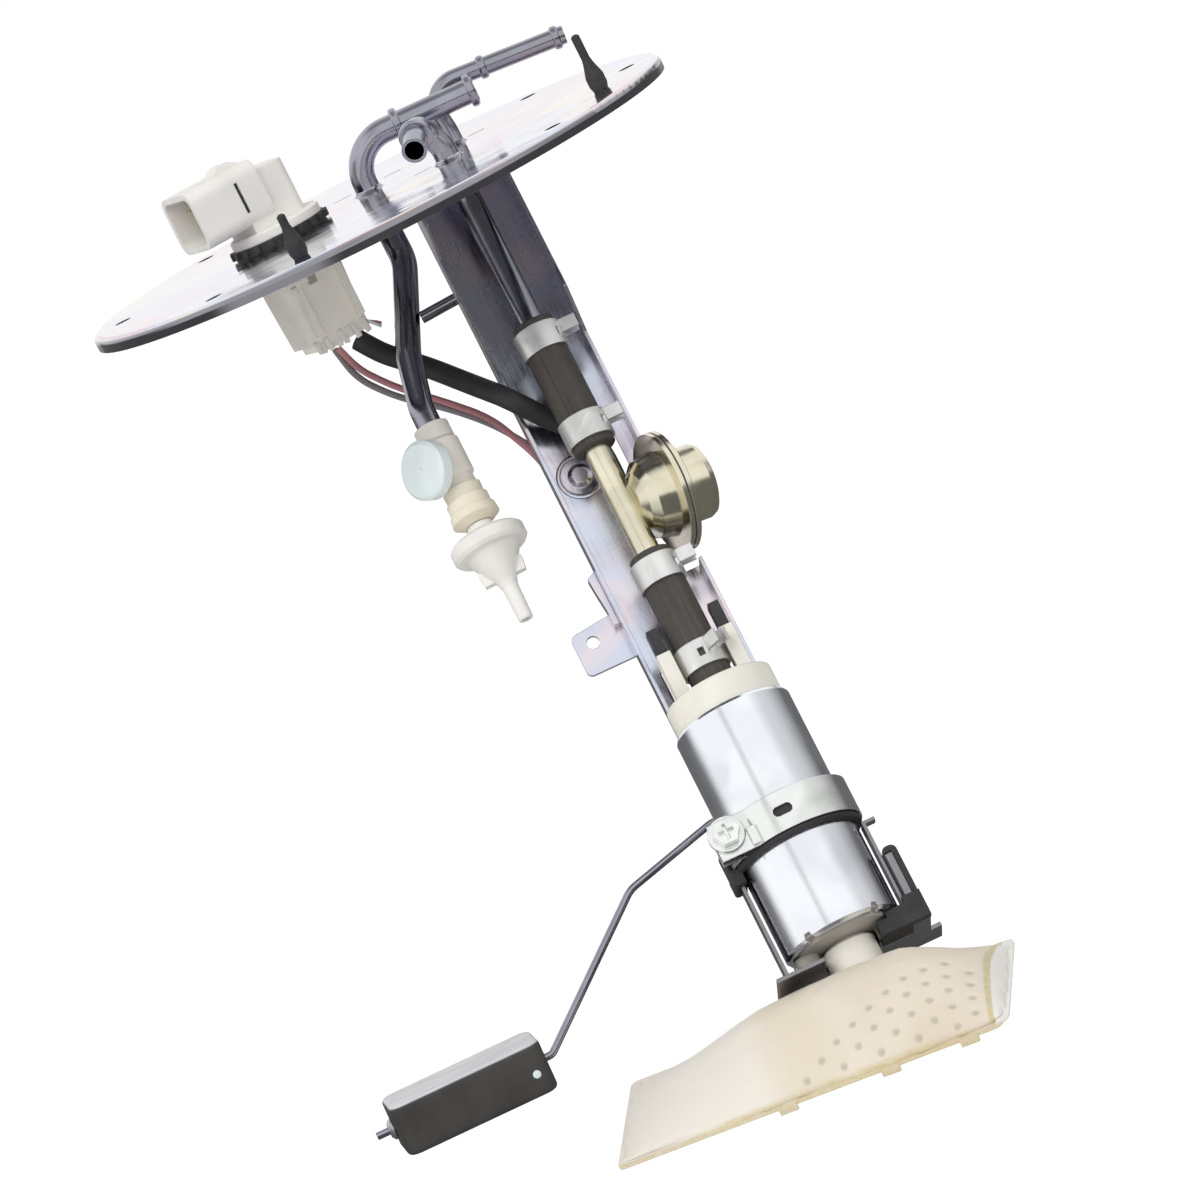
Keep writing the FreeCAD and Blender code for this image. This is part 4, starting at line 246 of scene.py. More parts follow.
class Finish:
    """A node tree being filled: a material's, the world's or a shared group's."""

    def __init__(self, tree, shader=None):
        self.tree = tree
        self.shader = shader

    def put(self, sockets, **values):
        for name, value in values.items():
            feed(self.tree, sockets[name.replace("_", " ")], value)

    def skin(self, **values):
        """Feed the shader's own sockets."""
        self.put(self.shader.inputs, **values)

    def node(self, kind, settings=None, **sockets):
        made = self.tree.nodes.new(kind)
        for name, value in (settings or {}).items():
            setattr(made, name, value)
        self.put(made.inputs, **sockets)
        return made

    def group(self, name, **sockets):
        return self.node("ShaderNodeGroup", {"node_tree": GROUPS[name]()}, **sockets).outputs

    def axes(self, vector):
        return self.node("ShaderNodeSeparateXYZ", Vector=vector).outputs[:3]

    def math(self, operation, a, b=0.0, c=0.0, clamp=False):
        made = self.node("ShaderNodeMath", {"operation": operation, "use_clamp": clamp})
        for place, item in enumerate((a, b, c)):
            feed(self.tree, made.inputs[place], item)
        return made.outputs[0]

    def mix(self, share, a, b, blend="MIX"):
        made = self.node("ShaderNodeMix", {"data_type": "RGBA", "blend_type": blend})
        feed(self.tree, made.inputs[0], share)
        feed(self.tree, made.inputs[6], a)
        feed(self.tree, made.inputs[7], b)
        return made.outputs[2]

    def span(self, value, low, high, to_low=0.0, to_high=1.0):
        made = self.node("ShaderNodeMapRange", {"interpolation_type": "SMOOTHSTEP"})
        for place, item in enumerate((value, low, high, to_low, to_high)):
            feed(self.tree, made.inputs[place], item)
        return made.outputs[0]

    def bump(self, height, distance, strength=1.0, normal=None):
        made = self.node("ShaderNodeBump", Height=height, Distance=distance, Strength=strength)
        if normal is not None:
            self.put(made.inputs, Normal=normal)
        return made.outputs[0]

    def stripe(self, value, middle, half, soft):
        """1 inside a stripe of the value, fading to 0 over the soft width."""
        off = self.math("ABSOLUTE", self.math("SUBTRACT", value, middle))
        return self.span(off, half, half + soft, 1.0, 0.0)

    def place(self, matrix=None, scale=(1, 1, 1)):
        """Object coordinates, turned into a piece's own directions."""
        where = self.node("ShaderNodeTexCoord").outputs["Object"]
        if matrix is None and scale == (1, 1, 1):
            return where
        if matrix is not None:
            turn = matrix.inverted()
            where = self.node(
                "ShaderNodeMapping",
                Vector=where,
                Location=turn.to_translation(),
                Rotation=turn.to_euler(),
            ).outputs[0]
        return self.node("ShaderNodeMapping", Vector=where, Scale=scale).outputs[0]


def group_tree(name, inputs, outputs, fill):
    """A shared shader group, built the first time it is asked for."""

    def build():
        tree = bpy.data.node_groups.get(name)
        if tree:
            return tree
        tree = bpy.data.node_groups.new(name, "ShaderNodeTree")
        for label, kind, start in inputs:
            socket = tree.interface.new_socket(label, in_out="INPUT", socket_type=kind)
            if start is not None:
                socket.default_value = start
        for label, kind in outputs:
            tree.interface.new_socket(label, in_out="OUTPUT", socket_type=kind)
        entry = tree.nodes.new("NodeGroupInput").outputs
        leave = tree.nodes.new("NodeGroupOutput").inputs
        fill(Finish(tree), entry, leave)
        return tree

    return build


NUMBER, COLOUR, VECTOR = "NodeSocketFloat", "NodeSocketColor", "NodeSocketVector"


def fill_grain(f, entry, leave):
    """Fine isotropic tooth with a slow drift under it."""
    fine = f.node(
        "ShaderNodeTexNoise", Vector=entry["Vector"], Scale=entry["Scale"], Detail=4.0, Roughness=0.6
    )
    slow_scale = f.math("MULTIPLY", entry["Scale"], 0.06)
    slow = f.node("ShaderNodeTexNoise", Vector=entry["Vector"], Scale=slow_scale, Detail=3.0)
    f.put(leave, Fine=fine.outputs[0], Slow=f.span(slow.outputs[0], 0.3, 0.7))


def fill_edge(f, entry, leave):
    """Where an edge turns within the radius: the rounded normal leaves the flat one."""
    rounded = f.node("ShaderNodeBevel", {"samples": 4}, Radius=entry["Radius"])
    flat = f.node("ShaderNodeNewGeometry")
    dot = f.node("ShaderNodeVectorMath", {"operation": "DOT_PRODUCT"})
    feed(f.tree, dot.inputs[0], rounded.outputs[0])
    feed(f.tree, dot.inputs[1], flat.outputs["Normal"])
    bend = f.math("SUBTRACT", 1.0, dot.outputs["Value"], clamp=True)
    noise = f.node("ShaderNodeTexNoise", Vector=entry["Vector"], Scale=entry["Patch"], Detail=3.0)
    patchy = f.span(noise.outputs[0], 0.32, 0.62)
    wear = f.math("MULTIPLY", f.span(bend, 0.01, 0.2), patchy)
    f.put(leave, Wear=wear, Normal=rounded.outputs[0])


def fill_drawn(f, entry, leave):
    """Fine lines along the piece's own Z, left by drawing or brushing."""
    stretched = f.node("ShaderNodeVectorMath", {"operation": "MULTIPLY"})
    feed(f.tree, stretched.inputs[0], entry["Vector"])
    stretched.inputs[1].default_value = (1, 1, 0.02)
    where, scale = stretched.outputs[0], entry["Scale"]
    lines = f.node("ShaderNodeTexNoise", Vector=where, Scale=scale, Detail=2.0, Roughness=0.5)
    f.put(leave, Lines=lines.outputs[0])


def fill_bloom(f, entry, leave):
    """The drifting interference tints of a zinc passivation."""
    warp = f.node(
        "ShaderNodeTexNoise", Vector=entry["Vector"], Scale=entry["Scale"], Detail=2.0, Distortion=1.2
    )
    first = f.span(warp.outputs[0], 0.38, 0.56)
    other = f.node("ShaderNodeTexNoise", Vector=entry["Vector"], Detail=2.0, Distortion=0.8)
    f.put(other.inputs, Scale=f.math("MULTIPLY", entry["Scale"], 1.7))
    second = f.span(other.outputs[0], 0.5, 0.68)
    base = f.mix(first, entry["Tint A"], entry["Tint B"])
    f.put(leave, Colour=f.mix(second, base, entry["Tint C"]))


def fill_weave(f, entry, leave):
    """A plain weave: two crossed sets of threads and the holes between them."""
    x, y, _ = f.axes(entry["Vector"])
    turns = f.math("DIVIDE", math.tau, entry["Pitch"])
    warp = f.math("SINE", f.math("MULTIPLY", x, turns))
    weft = f.math("SINE", f.math("MULTIPLY", y, turns))
    crossed = f.math("MULTIPLY", warp, weft)
    hole = f.span(f.math("ABSOLUTE", crossed), 0.0, 0.35, 1.0, 0.0)
    f.put(leave, Height=f.math("MULTIPLY_ADD", crossed, 0.5, 0.5), Hole=hole)


GROUPS = {
    "Grain": group_tree(
        "Grain",
        [("Vector", VECTOR, None), ("Scale", NUMBER, 900.0)],
        [("Fine", NUMBER), ("Slow", NUMBER)],
        fill_grain,
    ),
    "Edge": group_tree(
        "Edge",
        [("Vector", VECTOR, None), ("Radius", NUMBER, 0.0004), ("Patch", NUMBER, 220.0)],
        [("Wear", NUMBER), ("Normal", VECTOR)],
        fill_edge,
    ),
    "Drawn": group_tree(
        "Drawn", [("Vector", VECTOR, None), ("Scale", NUMBER, 1500.0)], [("Lines", NUMBER)], fill_drawn
    ),
    "Bloom": group_tree(
        "Bloom",
        [
            ("Vector", VECTOR, None),
            ("Scale", NUMBER, 14.0),
            ("Tint A", COLOUR, None),
            ("Tint B", COLOUR, None),
            ("Tint C", COLOUR, None),
        ],
        [("Colour", COLOUR)],
        fill_bloom,
    ),
    "Weave": group_tree(
        "Weave",
        [("Vector", VECTOR, None), ("Pitch", NUMBER, 0.0009)],
        [("Height", NUMBER), ("Hole", NUMBER)],
        fill_weave,
    ),
}


# Finishes


def new_finish(name):
    made = bpy.data.materials.new(name)
    made.use_nodes = True
    return made, Finish(made.node_tree, made.node_tree.nodes["Principled BSDF"])


def plated_metal(name, tints, rough, patch, place=None, drawn=0.0, wave=0.0, rounded=True, painted_rim_shade=0.0):
    """Zinc, chromate or nickel over steel: drifting tints, fine tooth, bright worn edges and, where
    asked, a rolled edge painted dark as painted shade for the dark studio it reflects.
    """
    made, f = new_finish(name)
    where = f.place(place)
    a, b, c = tints
    bloom = f.group("Bloom", Vector=where, Scale=patch, Tint_A=a, Tint_B=b, Tint_C=c)
    grain = f.group("Grain", Vector=where, Scale=1100.0)
    worn = f.group("Edge", Vector=where, Radius=settings("plating").edge)
    height = f.math("MULTIPLY", grain["Fine"], 0.3)
    shade = f.span(grain["Slow"], 0.0, 1.0, rough[0], rough[1])
    if drawn:
        lines = f.group("Drawn", Vector=where, Scale=1500.0)["Lines"]
        height = f.math("MULTIPLY_ADD", lines, 0.3 * drawn, height)
        shade = f.math("ADD", shade, f.span(lines, 0.3, 0.7, -0.03, 0.05))
    base = bloom["Colour"]
    # Painted shade: the outer edge below the flange's top face is darkened for the dark reflection that
    # it shows.
    if painted_rim_shade:
        flat = f.place(scale=(1, 1, 0))
        out = f.node("ShaderNodeVectorMath", {"operation": "LENGTH"}, Vector=flat).outputs["Value"]
        height_up = f.axes(f.place())[2]
        outer = f.span(out, painted_rim_shade - 0.8 * MM, painted_rim_shade - 0.3 * MM)
        under = f.span(height_up, 0.4 * MM, 0.8 * MM, 1.0, 0.0)
        base = f.mix(f.math("MULTIPLY", outer, under), base, tint("plating", "painted_rim_shade"))
    base = f.mix(f.math("MULTIPLY", worn["Wear"], 0.7), base, tint("plating", "rubbed"))
    normal = worn["Normal"] if rounded else None
    if wave:
        sheet = f.node("ShaderNodeTexNoise", Vector=f.place(place, (1, 2.2, 1)), Scale=16.0, Detail=2.0)
        normal = f.bump(sheet.outputs[0], wave * MM, 1.0, normal)
    tooth = f.bump(height, 0.012 * MM, 0.5, normal)
    f.skin(Base_Color=base, Roughness=shade, Normal=tooth, Metallic=1.0)
    return made


def plain_metal(name):
    """A metal of one colour, with a slightly deeper and a slightly paler drift."""
    main, rough, patch, place, drawn, rounded = PLAIN_METALS[name]
    if isinstance(main, str):
        main = tint("plating", main)
    drift = (main, shaded(main, 0.9), shaded(main, 1.07))
    return plated_metal(name, drift, rough, patch, place, drawn, rounded=rounded)


def moulded_plastic(name, main, rough=(0.38, 0.55), glow=0.0, place=None, low=None):
    """Injection-moulded plastic: slight flow marks, soft edges, a faint stain."""
    made, f = new_finish(name)
    where = f.place(place)
    grain = f.group("Grain", Vector=where, Scale=700.0)
    flow = f.node("ShaderNodeTexNoise", Vector=where, Scale=55.0, Detail=3.0, Distortion=0.7)
    worn = f.group("Edge", Vector=where, Radius=0.35 * MM)
    shade = f.mix(f.span(flow.outputs[0], 0.35, 0.72), main, shaded(main, 0.9))
    pale = tuple(min(1.0, c * 1.1 + 0.02) for c in main)
    shade = f.mix(f.math("MULTIPLY", worn["Wear"], 0.35), shade, pale)
    if low:
        stain, start, end = low
        depth = f.axes(where)[2]
        shade = f.mix(f.span(depth, start * MM, end * MM), shade, stain)
    f.skin(
        Base_Color=shade,
        Roughness=f.span(grain["Slow"], 0.0, 1.0, rough[0], rough[1]),
        Normal=f.bump(grain["Fine"], 0.03 * MM, 0.5, worn["Normal"]),
        Subsurface_Weight=glow,
        Subsurface_Scale=4 * MM,
        Subsurface_Radius=(1.0, 0.85, 0.6),
    )
    return made


def moulded_rubber(name, main, dust, place=None, cloth=0.0):
    """Rubber with a matt skin, dust in its tooth and, on a hose, the wrap's cloth mark."""
    made, f = new_finish(name)
    where = f.place(place)
    grain = f.group("Grain", Vector=where, Scale=800.0)
    worn = f.group("Edge", Vector=where, Radius=0.5 * MM)
    height = grain["Fine"]
    if cloth:
        lines = f.group("Drawn", Vector=where, Scale=900.0)["Lines"]
        height = f.math("MULTIPLY_ADD", lines, cloth, f.math("MULTIPLY", height, 0.5))
        main = f.mix(f.span(lines, 0.35, 0.68), main, shaded(main, 1.7))
    shade = f.mix(f.math("MULTIPLY", grain["Slow"], 0.35), main, dust)
    f.skin(
        Base_Color=f.mix(f.math("MULTIPLY", worn["Wear"], 0.5), shade, dust),
        Roughness=f.span(grain["Fine"], 0.3, 0.7, 0.5, 0.72),
        Normal=f.bump(height, 0.06 * MM, 0.6, worn["Normal"]),
    )
    return made


def foam_float_finish():
    """Closed-cell float: charcoal skin, rubbed edges and a pale, streaked top face that is painted
    sheen.
    """
    made, f = new_finish("foam_float")
    where = f.place(FLOAT)
    grain = f.group("Grain", Vector=where, Scale=1000.0)
    worn = f.group("Edge", Vector=where, Radius=1.6 * MM, Patch=60.0)
    height = f.axes(where)[2]
    # Painted sheen: the top face takes a pale, streaked colour in place of its sheen.
    top = f.span(height, 7.4 * MM, 8.0 * MM)
    streak = f.node("ShaderNodeTexNoise", Vector=f.place(FLOAT, (1, 6, 1)), Scale=70.0, Detail=4.0)
    foam, pale = tint("moulding", "foam"), tint("moulding", "foam_top_painted_sheen")
    above = f.mix(f.span(streak.outputs[0], 0.35, 0.7), pale, shaded(pale, 0.86))
    below = f.mix(grain["Slow"], foam, shaded(foam, 1.5))
    below = f.mix(f.math("MULTIPLY", worn["Wear"], 0.8), below, (0.16, 0.155, 0.15))
    f.skin(
        Base_Color=f.mix(top, below, above),
        Roughness=f.span(grain["Fine"], 0.3, 0.7, 0.5, 0.66),
        Normal=f.bump(grain["Fine"], 0.05 * MM, 0.5, worn["Normal"]),
    )
    return made


def weld_marks(f, x, y, z):
    """1 in the middle of each spot weld of the bag's upper side; spacer_welds has the same pattern."""
    pitch, row = settings("strainer").pitch, settings("strainer").row
    y = f.math("SUBTRACT", y, WELD_FRONT * MM)
    line = f.math("ROUND", f.math("DIVIDE", y, row))
    odd = f.math("MULTIPLY", f.math("FLOORED_MODULO", line, 2.0), 0.5)
    along = f.math("SUBTRACT", f.math("DIVIDE", x, pitch), odd)
    off_x = f.math("MULTIPLY", f.math("SUBTRACT", along, f.math("ROUND", along)), pitch / (1.3 * MM))
    off_y = f.math("MULTIPLY", f.math("SUBTRACT", y, f.math("MULTIPLY", line, row)), 1 / (0.95 * MM))
    gap = f.math("ADD", f.math("MULTIPLY", off_x, off_x), f.math("MULTIPLY", off_y, off_y))
    start = f.math("SUBTRACT", x, f.math("MULTIPLY", line, WELD_DRIFT * MM))
    within = f.span(start, (WELD_START - 0.1) * MM, WELD_START * MM)
    within = f.math("MULTIPLY", within, f.span(x, (WELD_END - 0.5) * MM, WELD_END * MM, 1.0, 0.0))
    middle = (WELD_ROWS - 1) / 2
    within = f.math("MULTIPLY", within, f.stripe(line, middle, middle + 0.4, 0.1))
    upper = f.span(z, 0.5 * MM, 1.5 * MM)
    return f.math("MULTIPLY", f.span(gap, 0.1, 1.5, 1.0, 0.0), f.math("MULTIPLY", within, upper))


def strainer_cloth():
    """Fine woven polyamide: stained to the right, weld marks, a yellower band of painted shade along
    the crease and a sealed border.
    """
    made, f = new_finish("sock_fabric")
    where = f.place(SOCK)
    x, y, z = f.axes(where)
    weave = f.group("Weave", Vector=where, Pitch=settings("strainer").weave)
    grain = f.group("Grain", Vector=where, Scale=420.0)
    cloth, weld_tone_and_crease_shade, seam = (tint("strainer", name) for name in ("cloth", "weld_tone_and_crease_shade", "seam"))
    drift = f.node("ShaderNodeTexNoise", Vector=where, Scale=26.0, Detail=3.0, Distortion=0.6)
    base = f.mix(f.span(x, -22 * MM, 38 * MM), cloth, tint("strainer", "stained"))
    patchy = f.math("MULTIPLY", f.span(drift.outputs[0], 0.35, 0.7), 0.35)
    base = f.mix(patchy, base, shaded(cloth, 1.08))
    bent = f.math("MULTIPLY_ADD", y, 0.25, x)
    bent = f.math("MULTIPLY_ADD", drift.outputs[0], 0.02, bent)
    # Painted shade: a yellower band along the crease, for the shade on its steeper side.
    base = f.mix(f.math("MULTIPLY", f.stripe(bent, 6 * MM, 4 * MM, 14 * MM), 0.6), base, weld_tone_and_crease_shade)
    base = f.mix(f.math("MULTIPLY", weave["Hole"], 0.22), base, shaded(cloth, 0.55))
    base = f.mix(f.math("MULTIPLY", weld_marks(f, x, y, z), 0.5), base, shaded(weld_tone_and_crease_shade, 0.5))
    base = f.mix(f.span(x, 60.5 * MM, 61.1 * MM, 0.0, 0.85), base, (0.88, 0.87, 0.84))
    right = f.stripe(x, 60.1 * MM, 0.5 * MM, 0.5 * MM)
    front = f.span(y, -27.2 * MM, -26.2 * MM, 1.0, 0.0)
    sealed = f.math("MAXIMUM", right, f.math("MULTIPLY", front, 0.75))
    base = f.mix(f.math("MULTIPLY", sealed, f.span(grain["Fine"], 0.3, 0.6, 0.5, 1.0)), base, seam)
    height = f.math("MULTIPLY_ADD", grain["Fine"], 0.5, weave["Height"])
    f.skin(
        Base_Color=base,
        Roughness=f.span(grain["Fine"], 0.3, 0.7, 0.62, 0.8),
        Normal=f.bump(height, 0.05 * MM, 0.6),
        Sheen_Weight=0.15,
        Subsurface_Weight=0.1,
        Subsurface_Scale=3 * MM,
    )
    return made


def tints(*names):
    return tuple(tint("plating", name) for name in names)


# Name: its tint (a plating setting or a colour), roughness from and to, scale of its drift,
# the piece's own directions, how drawn it is, and whether its edges catch the light.
PLAIN_METALS = {
    "steel_tube": ("tube", (0.12, 0.2), 30.0, None, 0.0, False),
    "cradle_steel": ("cradle", (0.24, 0.38), 30.0, HANG, 0.0, True),
    "chromate": ("damper", (0.14, 0.26), 42.0, HANG, 0.0, True),
    "can_steel": ("can", (0.13, 0.2), 18.0, HANG, 0.5, True),
    "clamp_steel": ("clamp", (0.34, 0.46), 60.0, HANG, 0.0, True),
    "band_steel": ("band", (0.13, 0.22), 40.0, HANG, 0.0, True),
    "spring_steel": ((0.6, 0.61, 0.63), (0.25, 0.4), 80.0, None, 0.0, True),
    "brass": ((0.78, 0.61, 0.34), (0.2, 0.36), 70.0, None, 0.0, True),
    "copper": ((0.76, 0.44, 0.28), (0.24, 0.4), 90.0, None, 0.0, True),
    "iron_core": ((0.3, 0.3, 0.32), (0.4, 0.6), 60.0, None, 0.8, True),
}
METALS = {*PLAIN_METALS, "zinc_plate", "zinc_steel"}


def moulding(name):
    return tint("moulding", name)


def lead(name, setting):
    main = tint("leads", setting)
    return moulded_rubber(name, main, shaded(main, 1.4 if setting == "first" else 1.3))


FINISHES = {
    **dict.fromkeys(PLAIN_METALS, plain_metal),
    "zinc_plate": lambda n: plated_metal(
        n,
        tints("flange", "flange_blue", "flange_cream"),
        (0.08, 0.15),
        13.0,
        wave=0.4,
        rounded=False,
        painted_rim_shade=PLATE_RADIUS,
    ),
    "zinc_steel": lambda n: plated_metal(
        n, tints("hanger", "hanger_blue", "hanger_pink"), (0.16, 0.28), 24.0, HANG, drawn=0.5, wave=0.15
    ),
    "magnet": lambda n: moulded_plastic(n, (0.09, 0.09, 0.095), (0.5, 0.7)),
    "carbon": lambda n: moulded_plastic(n, (0.05, 0.05, 0.05), (0.5, 0.7)),
    "black_rubber": lambda n: moulded_rubber(n, moulding("rubber"), (0.08, 0.08, 0.08)),
    "hose_rubber": lambda n: moulded_rubber(n, moulding("hose"), (0.085, 0.077, 0.068), HANG, 0.9),
    "lead_cover": lambda n: lead(n, "first"),
    "second_lead": lambda n: lead(n, "second"),
    "ivory_plastic": lambda n: moulded_plastic(n, moulding("ivory"), (0.36, 0.52), glow=0.12),
    # Partly painted light: a paler copy of the ivory plastic for the plug, which lies in the flange's
    # shade.
    "plug_plastic": lambda n: moulded_plastic(n, moulding("plug"), (0.36, 0.5), glow=0.16),
    "white_plastic": lambda n: moulded_plastic(n, moulding("white"), (0.34, 0.5), glow=0.15),
    "cream_plastic": lambda n: moulded_plastic(n, moulding("cream"), glow=0.1),
    "valve_plastic": lambda n: moulded_plastic(
        n, (0.85, 0.81, 0.74), (0.36, 0.5), 0.14, VALVE, ((0.86, 0.79, 0.65), -19, -27)
    ),
    "black_plastic": lambda n: moulded_plastic(n, moulding("black")),
    "grey_plastic": lambda n: moulded_plastic(n, moulding("grey")),
    "foam_float": lambda n: foam_float_finish(),
    "sock_fabric": lambda n: strainer_cloth(),
}
# Pieces whose finish differs from their slot's.
OWN_FINISH = {
    "valve_body": "valve_plastic",
    "connector_plug": "plug_plastic",
    "pump_cradle": "cradle_steel",
}


def finish(name):
    return bpy.data.materials.get(name) or FINISHES[name](name)


def dress(metal):
    """Give each CAD piece of one kind the finish of its slot."""
    for row in frame["record"]["subparts"]:
        if (row["material_slot"] in METALS) == metal:
            mesh = NODES[row["node"]].data
            mesh.materials.clear()
            mesh.materials.append(finish(OWN_FINISH.get(row["node"], row["material_slot"])))


# Mesh tools


def link(name, data):
    thing = bpy.data.objects.new(name, data)
    bpy.context.scene.collection.objects.link(thing)
    return thing


def link_mesh(name, bm):
    mesh = bpy.data.meshes.new(name)
    bm.to_mesh(mesh)
    bm.free()
    return link(name, mesh)


def shown_mesh(thing):
    """The thing's mesh as its modifiers leave it."""
    graph = bpy.context.evaluated_depsgraph_get()
    return bpy.data.meshes.new_from_object(thing.evaluated_get(graph))


def merged_copy(node):
    """A CAD piece's mesh as a bmesh without doubled vertices."""
    bm = bmesh.new()
    bm.from_mesh(NODES[node].data)
    bmesh.ops.remove_doubles(bm, verts=bm.verts, dist=0.01 * MM)
    return bm


def add_piece(name, bm, body, slot, place=None, smooth=40, look=None):
    """Turn a bmesh in millimetres into a finished piece at the origin that rides on a body."""
    if place is not None:
        bmesh.ops.transform(bm, matrix=place @ Matrix.Scale(MM, 4), verts=bm.verts)
    bmesh.ops.recalc_face_normals(bm, faces=bm.faces)
    thing = link_mesh(name, bm)
    thing.data.shade_smooth()
    thing.data.set_sharp_from_angle(angle=math.radians(smooth))
    thing.data.materials.append(finish(look or slot))
    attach(thing, body)
    return thing


def turned_ring(bm, profile, steps=48, place=Matrix()):
    """Spin a closed outline of (radius, height) points about the Z axis."""
    points = [bm.verts.new((r, 0, z)) for r, z in profile]
    edges = [bm.edges.new(pair) for pair in zip(points, points[1:] + points[:1])]
    made = bmesh.ops.spin(
        bm,
        geom=points + edges,
        cent=(0, 0, 0),
        axis=(0, 0, 1),
        angle=math.tau,
        steps=steps,
        use_merge=True,
    )
    last = made["geom_last"][0]
    seed = last if isinstance(last, bmesh.types.BMVert) else last.verts[0]
    bmesh.ops.transform(bm, matrix=place, verts=grown_island(seed))


def grown_island(seed):
    """Every vertex joined to the seed."""
    found, edge = {seed}, [seed]
    while edge:
        for link in edge.pop().link_edges:
            for v in link.verts:
                if v not in found:
                    found.add(v)
                    edge.append(v)
    return list(found)


def soft_box(bm, low, high, round_off=0.3, place=Matrix(), taper=1.0):
    """A block between two corners with rounded edges, its top narrowed by the taper."""
    verts = bmesh.ops.create_cube(bm, size=1)["verts"]
    low, high = Vector(low), Vector(high)
    size = high - low
    for v in verts:
        if v.co.z > 0:
            v.co.x, v.co.y = v.co.x * taper, v.co.y * taper
    bmesh.ops.scale(bm, vec=size, verts=verts)
    edges = {e for v in verts for e in v.link_edges}
    bent = bmesh.ops.bevel(
        bm, geom=list(edges), offset=round_off, affect="EDGES", segments=2, profile=0.5, material=-1
    )
    block = grown_island(bent["verts"][0])
    bmesh.ops.translate(bm, vec=(low + high) / 2, verts=block)
    bmesh.ops.transform(bm, matrix=place, verts=block)


def wire(name, points, diameter, body, slot, place, look=None):
    """A short fixed wire through points in millimetres, as a mesh tube at the origin."""
    line = bpy.data.curves.new(name, "CURVE")
    line.dimensions = "3D"
    spline = line.splines.new("NURBS")
    spline.points.add(len(points) - 1)
    for target, point in zip(spline.points, points):
        target.co = (*(place @ (Vector(point) * MM)), 1)
    spline.order_u = 3
    spline.use_endpoint_u = True
    line.bevel_depth = diameter / 2
    line.bevel_resolution = 4
    line.resolution_u = 8
    line.use_fill_caps = True
    trial = link(name + "_line", line)
    mesh = shown_mesh(trial)
    bpy.data.objects.remove(trial)
    bm = bmesh.new()
    bm.from_mesh(mesh)
    bmesh.ops.remove_doubles(bm, verts=bm.verts, dist=0.001 * MM)
    return add_piece(name, bm, body, slot, smooth=60, look=look)


# Small fittings, in millimetres, the pipe feet with a radius.

RIVET_MIDDLE = (-6, 19.55, -107.5)
# Painted highlight: the next line places the white disc that stands in for a glint on the float, in the
# float's own frame.
FLOAT_GLINT_MIDDLE = (20.6, -12.45, -1.2)
PIPE_FEET = ((-1.2, 20.0, 4.1), (26.0, -8.0, 4.1), (30.5, 30.0, 3.0))


def make_pipe_feet():
    """The brazed fillet where each pipe goes through the plate."""
    bm = bmesh.new()
    for x, y, radius in PIPE_FEET:
        outline = [
            (radius + 0.06, 1.25),
            (radius + 1.1, 1.25),
            (radius + 0.75, 1.42),
            (radius + 0.4, 1.75),
            (radius + 0.06, 2.3),
        ]
        turned_ring(bm, outline, 40, Matrix.Translation((x, y, 0)))
    add_piece("pipe_foot_brazes", bm, "module", "steel_tube", Matrix(), 60)


def make_plug_fittings():
    """The plug's latch clip, a black block of painted shadow in the connector's slit, its torn lower
    collar and the two short wires beside the sleeve.
    """
    clip = bmesh.new()
    soft_box(clip, (-11.2, -12.1, -13.4), (-2.4, -10.9, -9.6), 0.35)
    soft_box(clip, (-10.6, -12.6, -15.6), (-8.6, -11.0, -12.6), 0.3)
    add_piece("plug_clip", clip, "module", "ivory_plastic", CONNECTOR, look="plug_plastic")
    # Painted shadow: a thin black block fills the connector's slit to darken it.
    bar = bmesh.new()
    soft_box(bar, (-11.28, -10.5, 14.9), (-10.12, -9.0, 25.1), 0.15)
    add_piece("connector_lock_bar", bar, "module", "black_plastic", CONNECTOR)
    tongue = bmesh.new()
    soft_box(tongue, (-3.6, -12.7, -14.6), (-0.9, -11.0, -8.8), 0.4)
    add_piece("plug_clip_tongue", tongue, "module", "grey_plastic", CONNECTOR)
    collar = bmesh.new()
    for i in range(11):
        along = -9.4 + 1.75 * i + 0.3 * math.sin(5.1 * i)
        sway, drop = math.sin(2.3 * i), 1.6 * math.sin(1.7 * i + 0.6) ** 2
        lean = Matrix.Translation((along, -8.7 + 0.4 * sway, -33.4))
        lean = lean @ turned("Y", 12 * sway) @ turned("X", -6 - 7 * sway)
        soft_box(collar, (-1.0, -0.4, -2.1 - drop), (1.0, 0.4, 1.6), 0.25, lean)
    add_piece("plug_torn_collar", collar, "module", "ivory_plastic", CONNECTOR, look="plug_plastic")
    stub = settings("leads").stub
    red = [(6.5, -6, -30), (9, -8.4, -33.5), (12.4, -8.8, -35.4), (14.4, -7, -36.6)]
    white = [(7.6, -6.6, -30.5), (10.4, -9.2, -34.6), (13, -9.6, -37.4)]
    wire("plug_wire_red", red, stub, "module", "lead_cover", CONNECTOR, "second_lead")
    wire("plug_wire_white", white, stub, "module", "white_plastic", CONNECTOR)


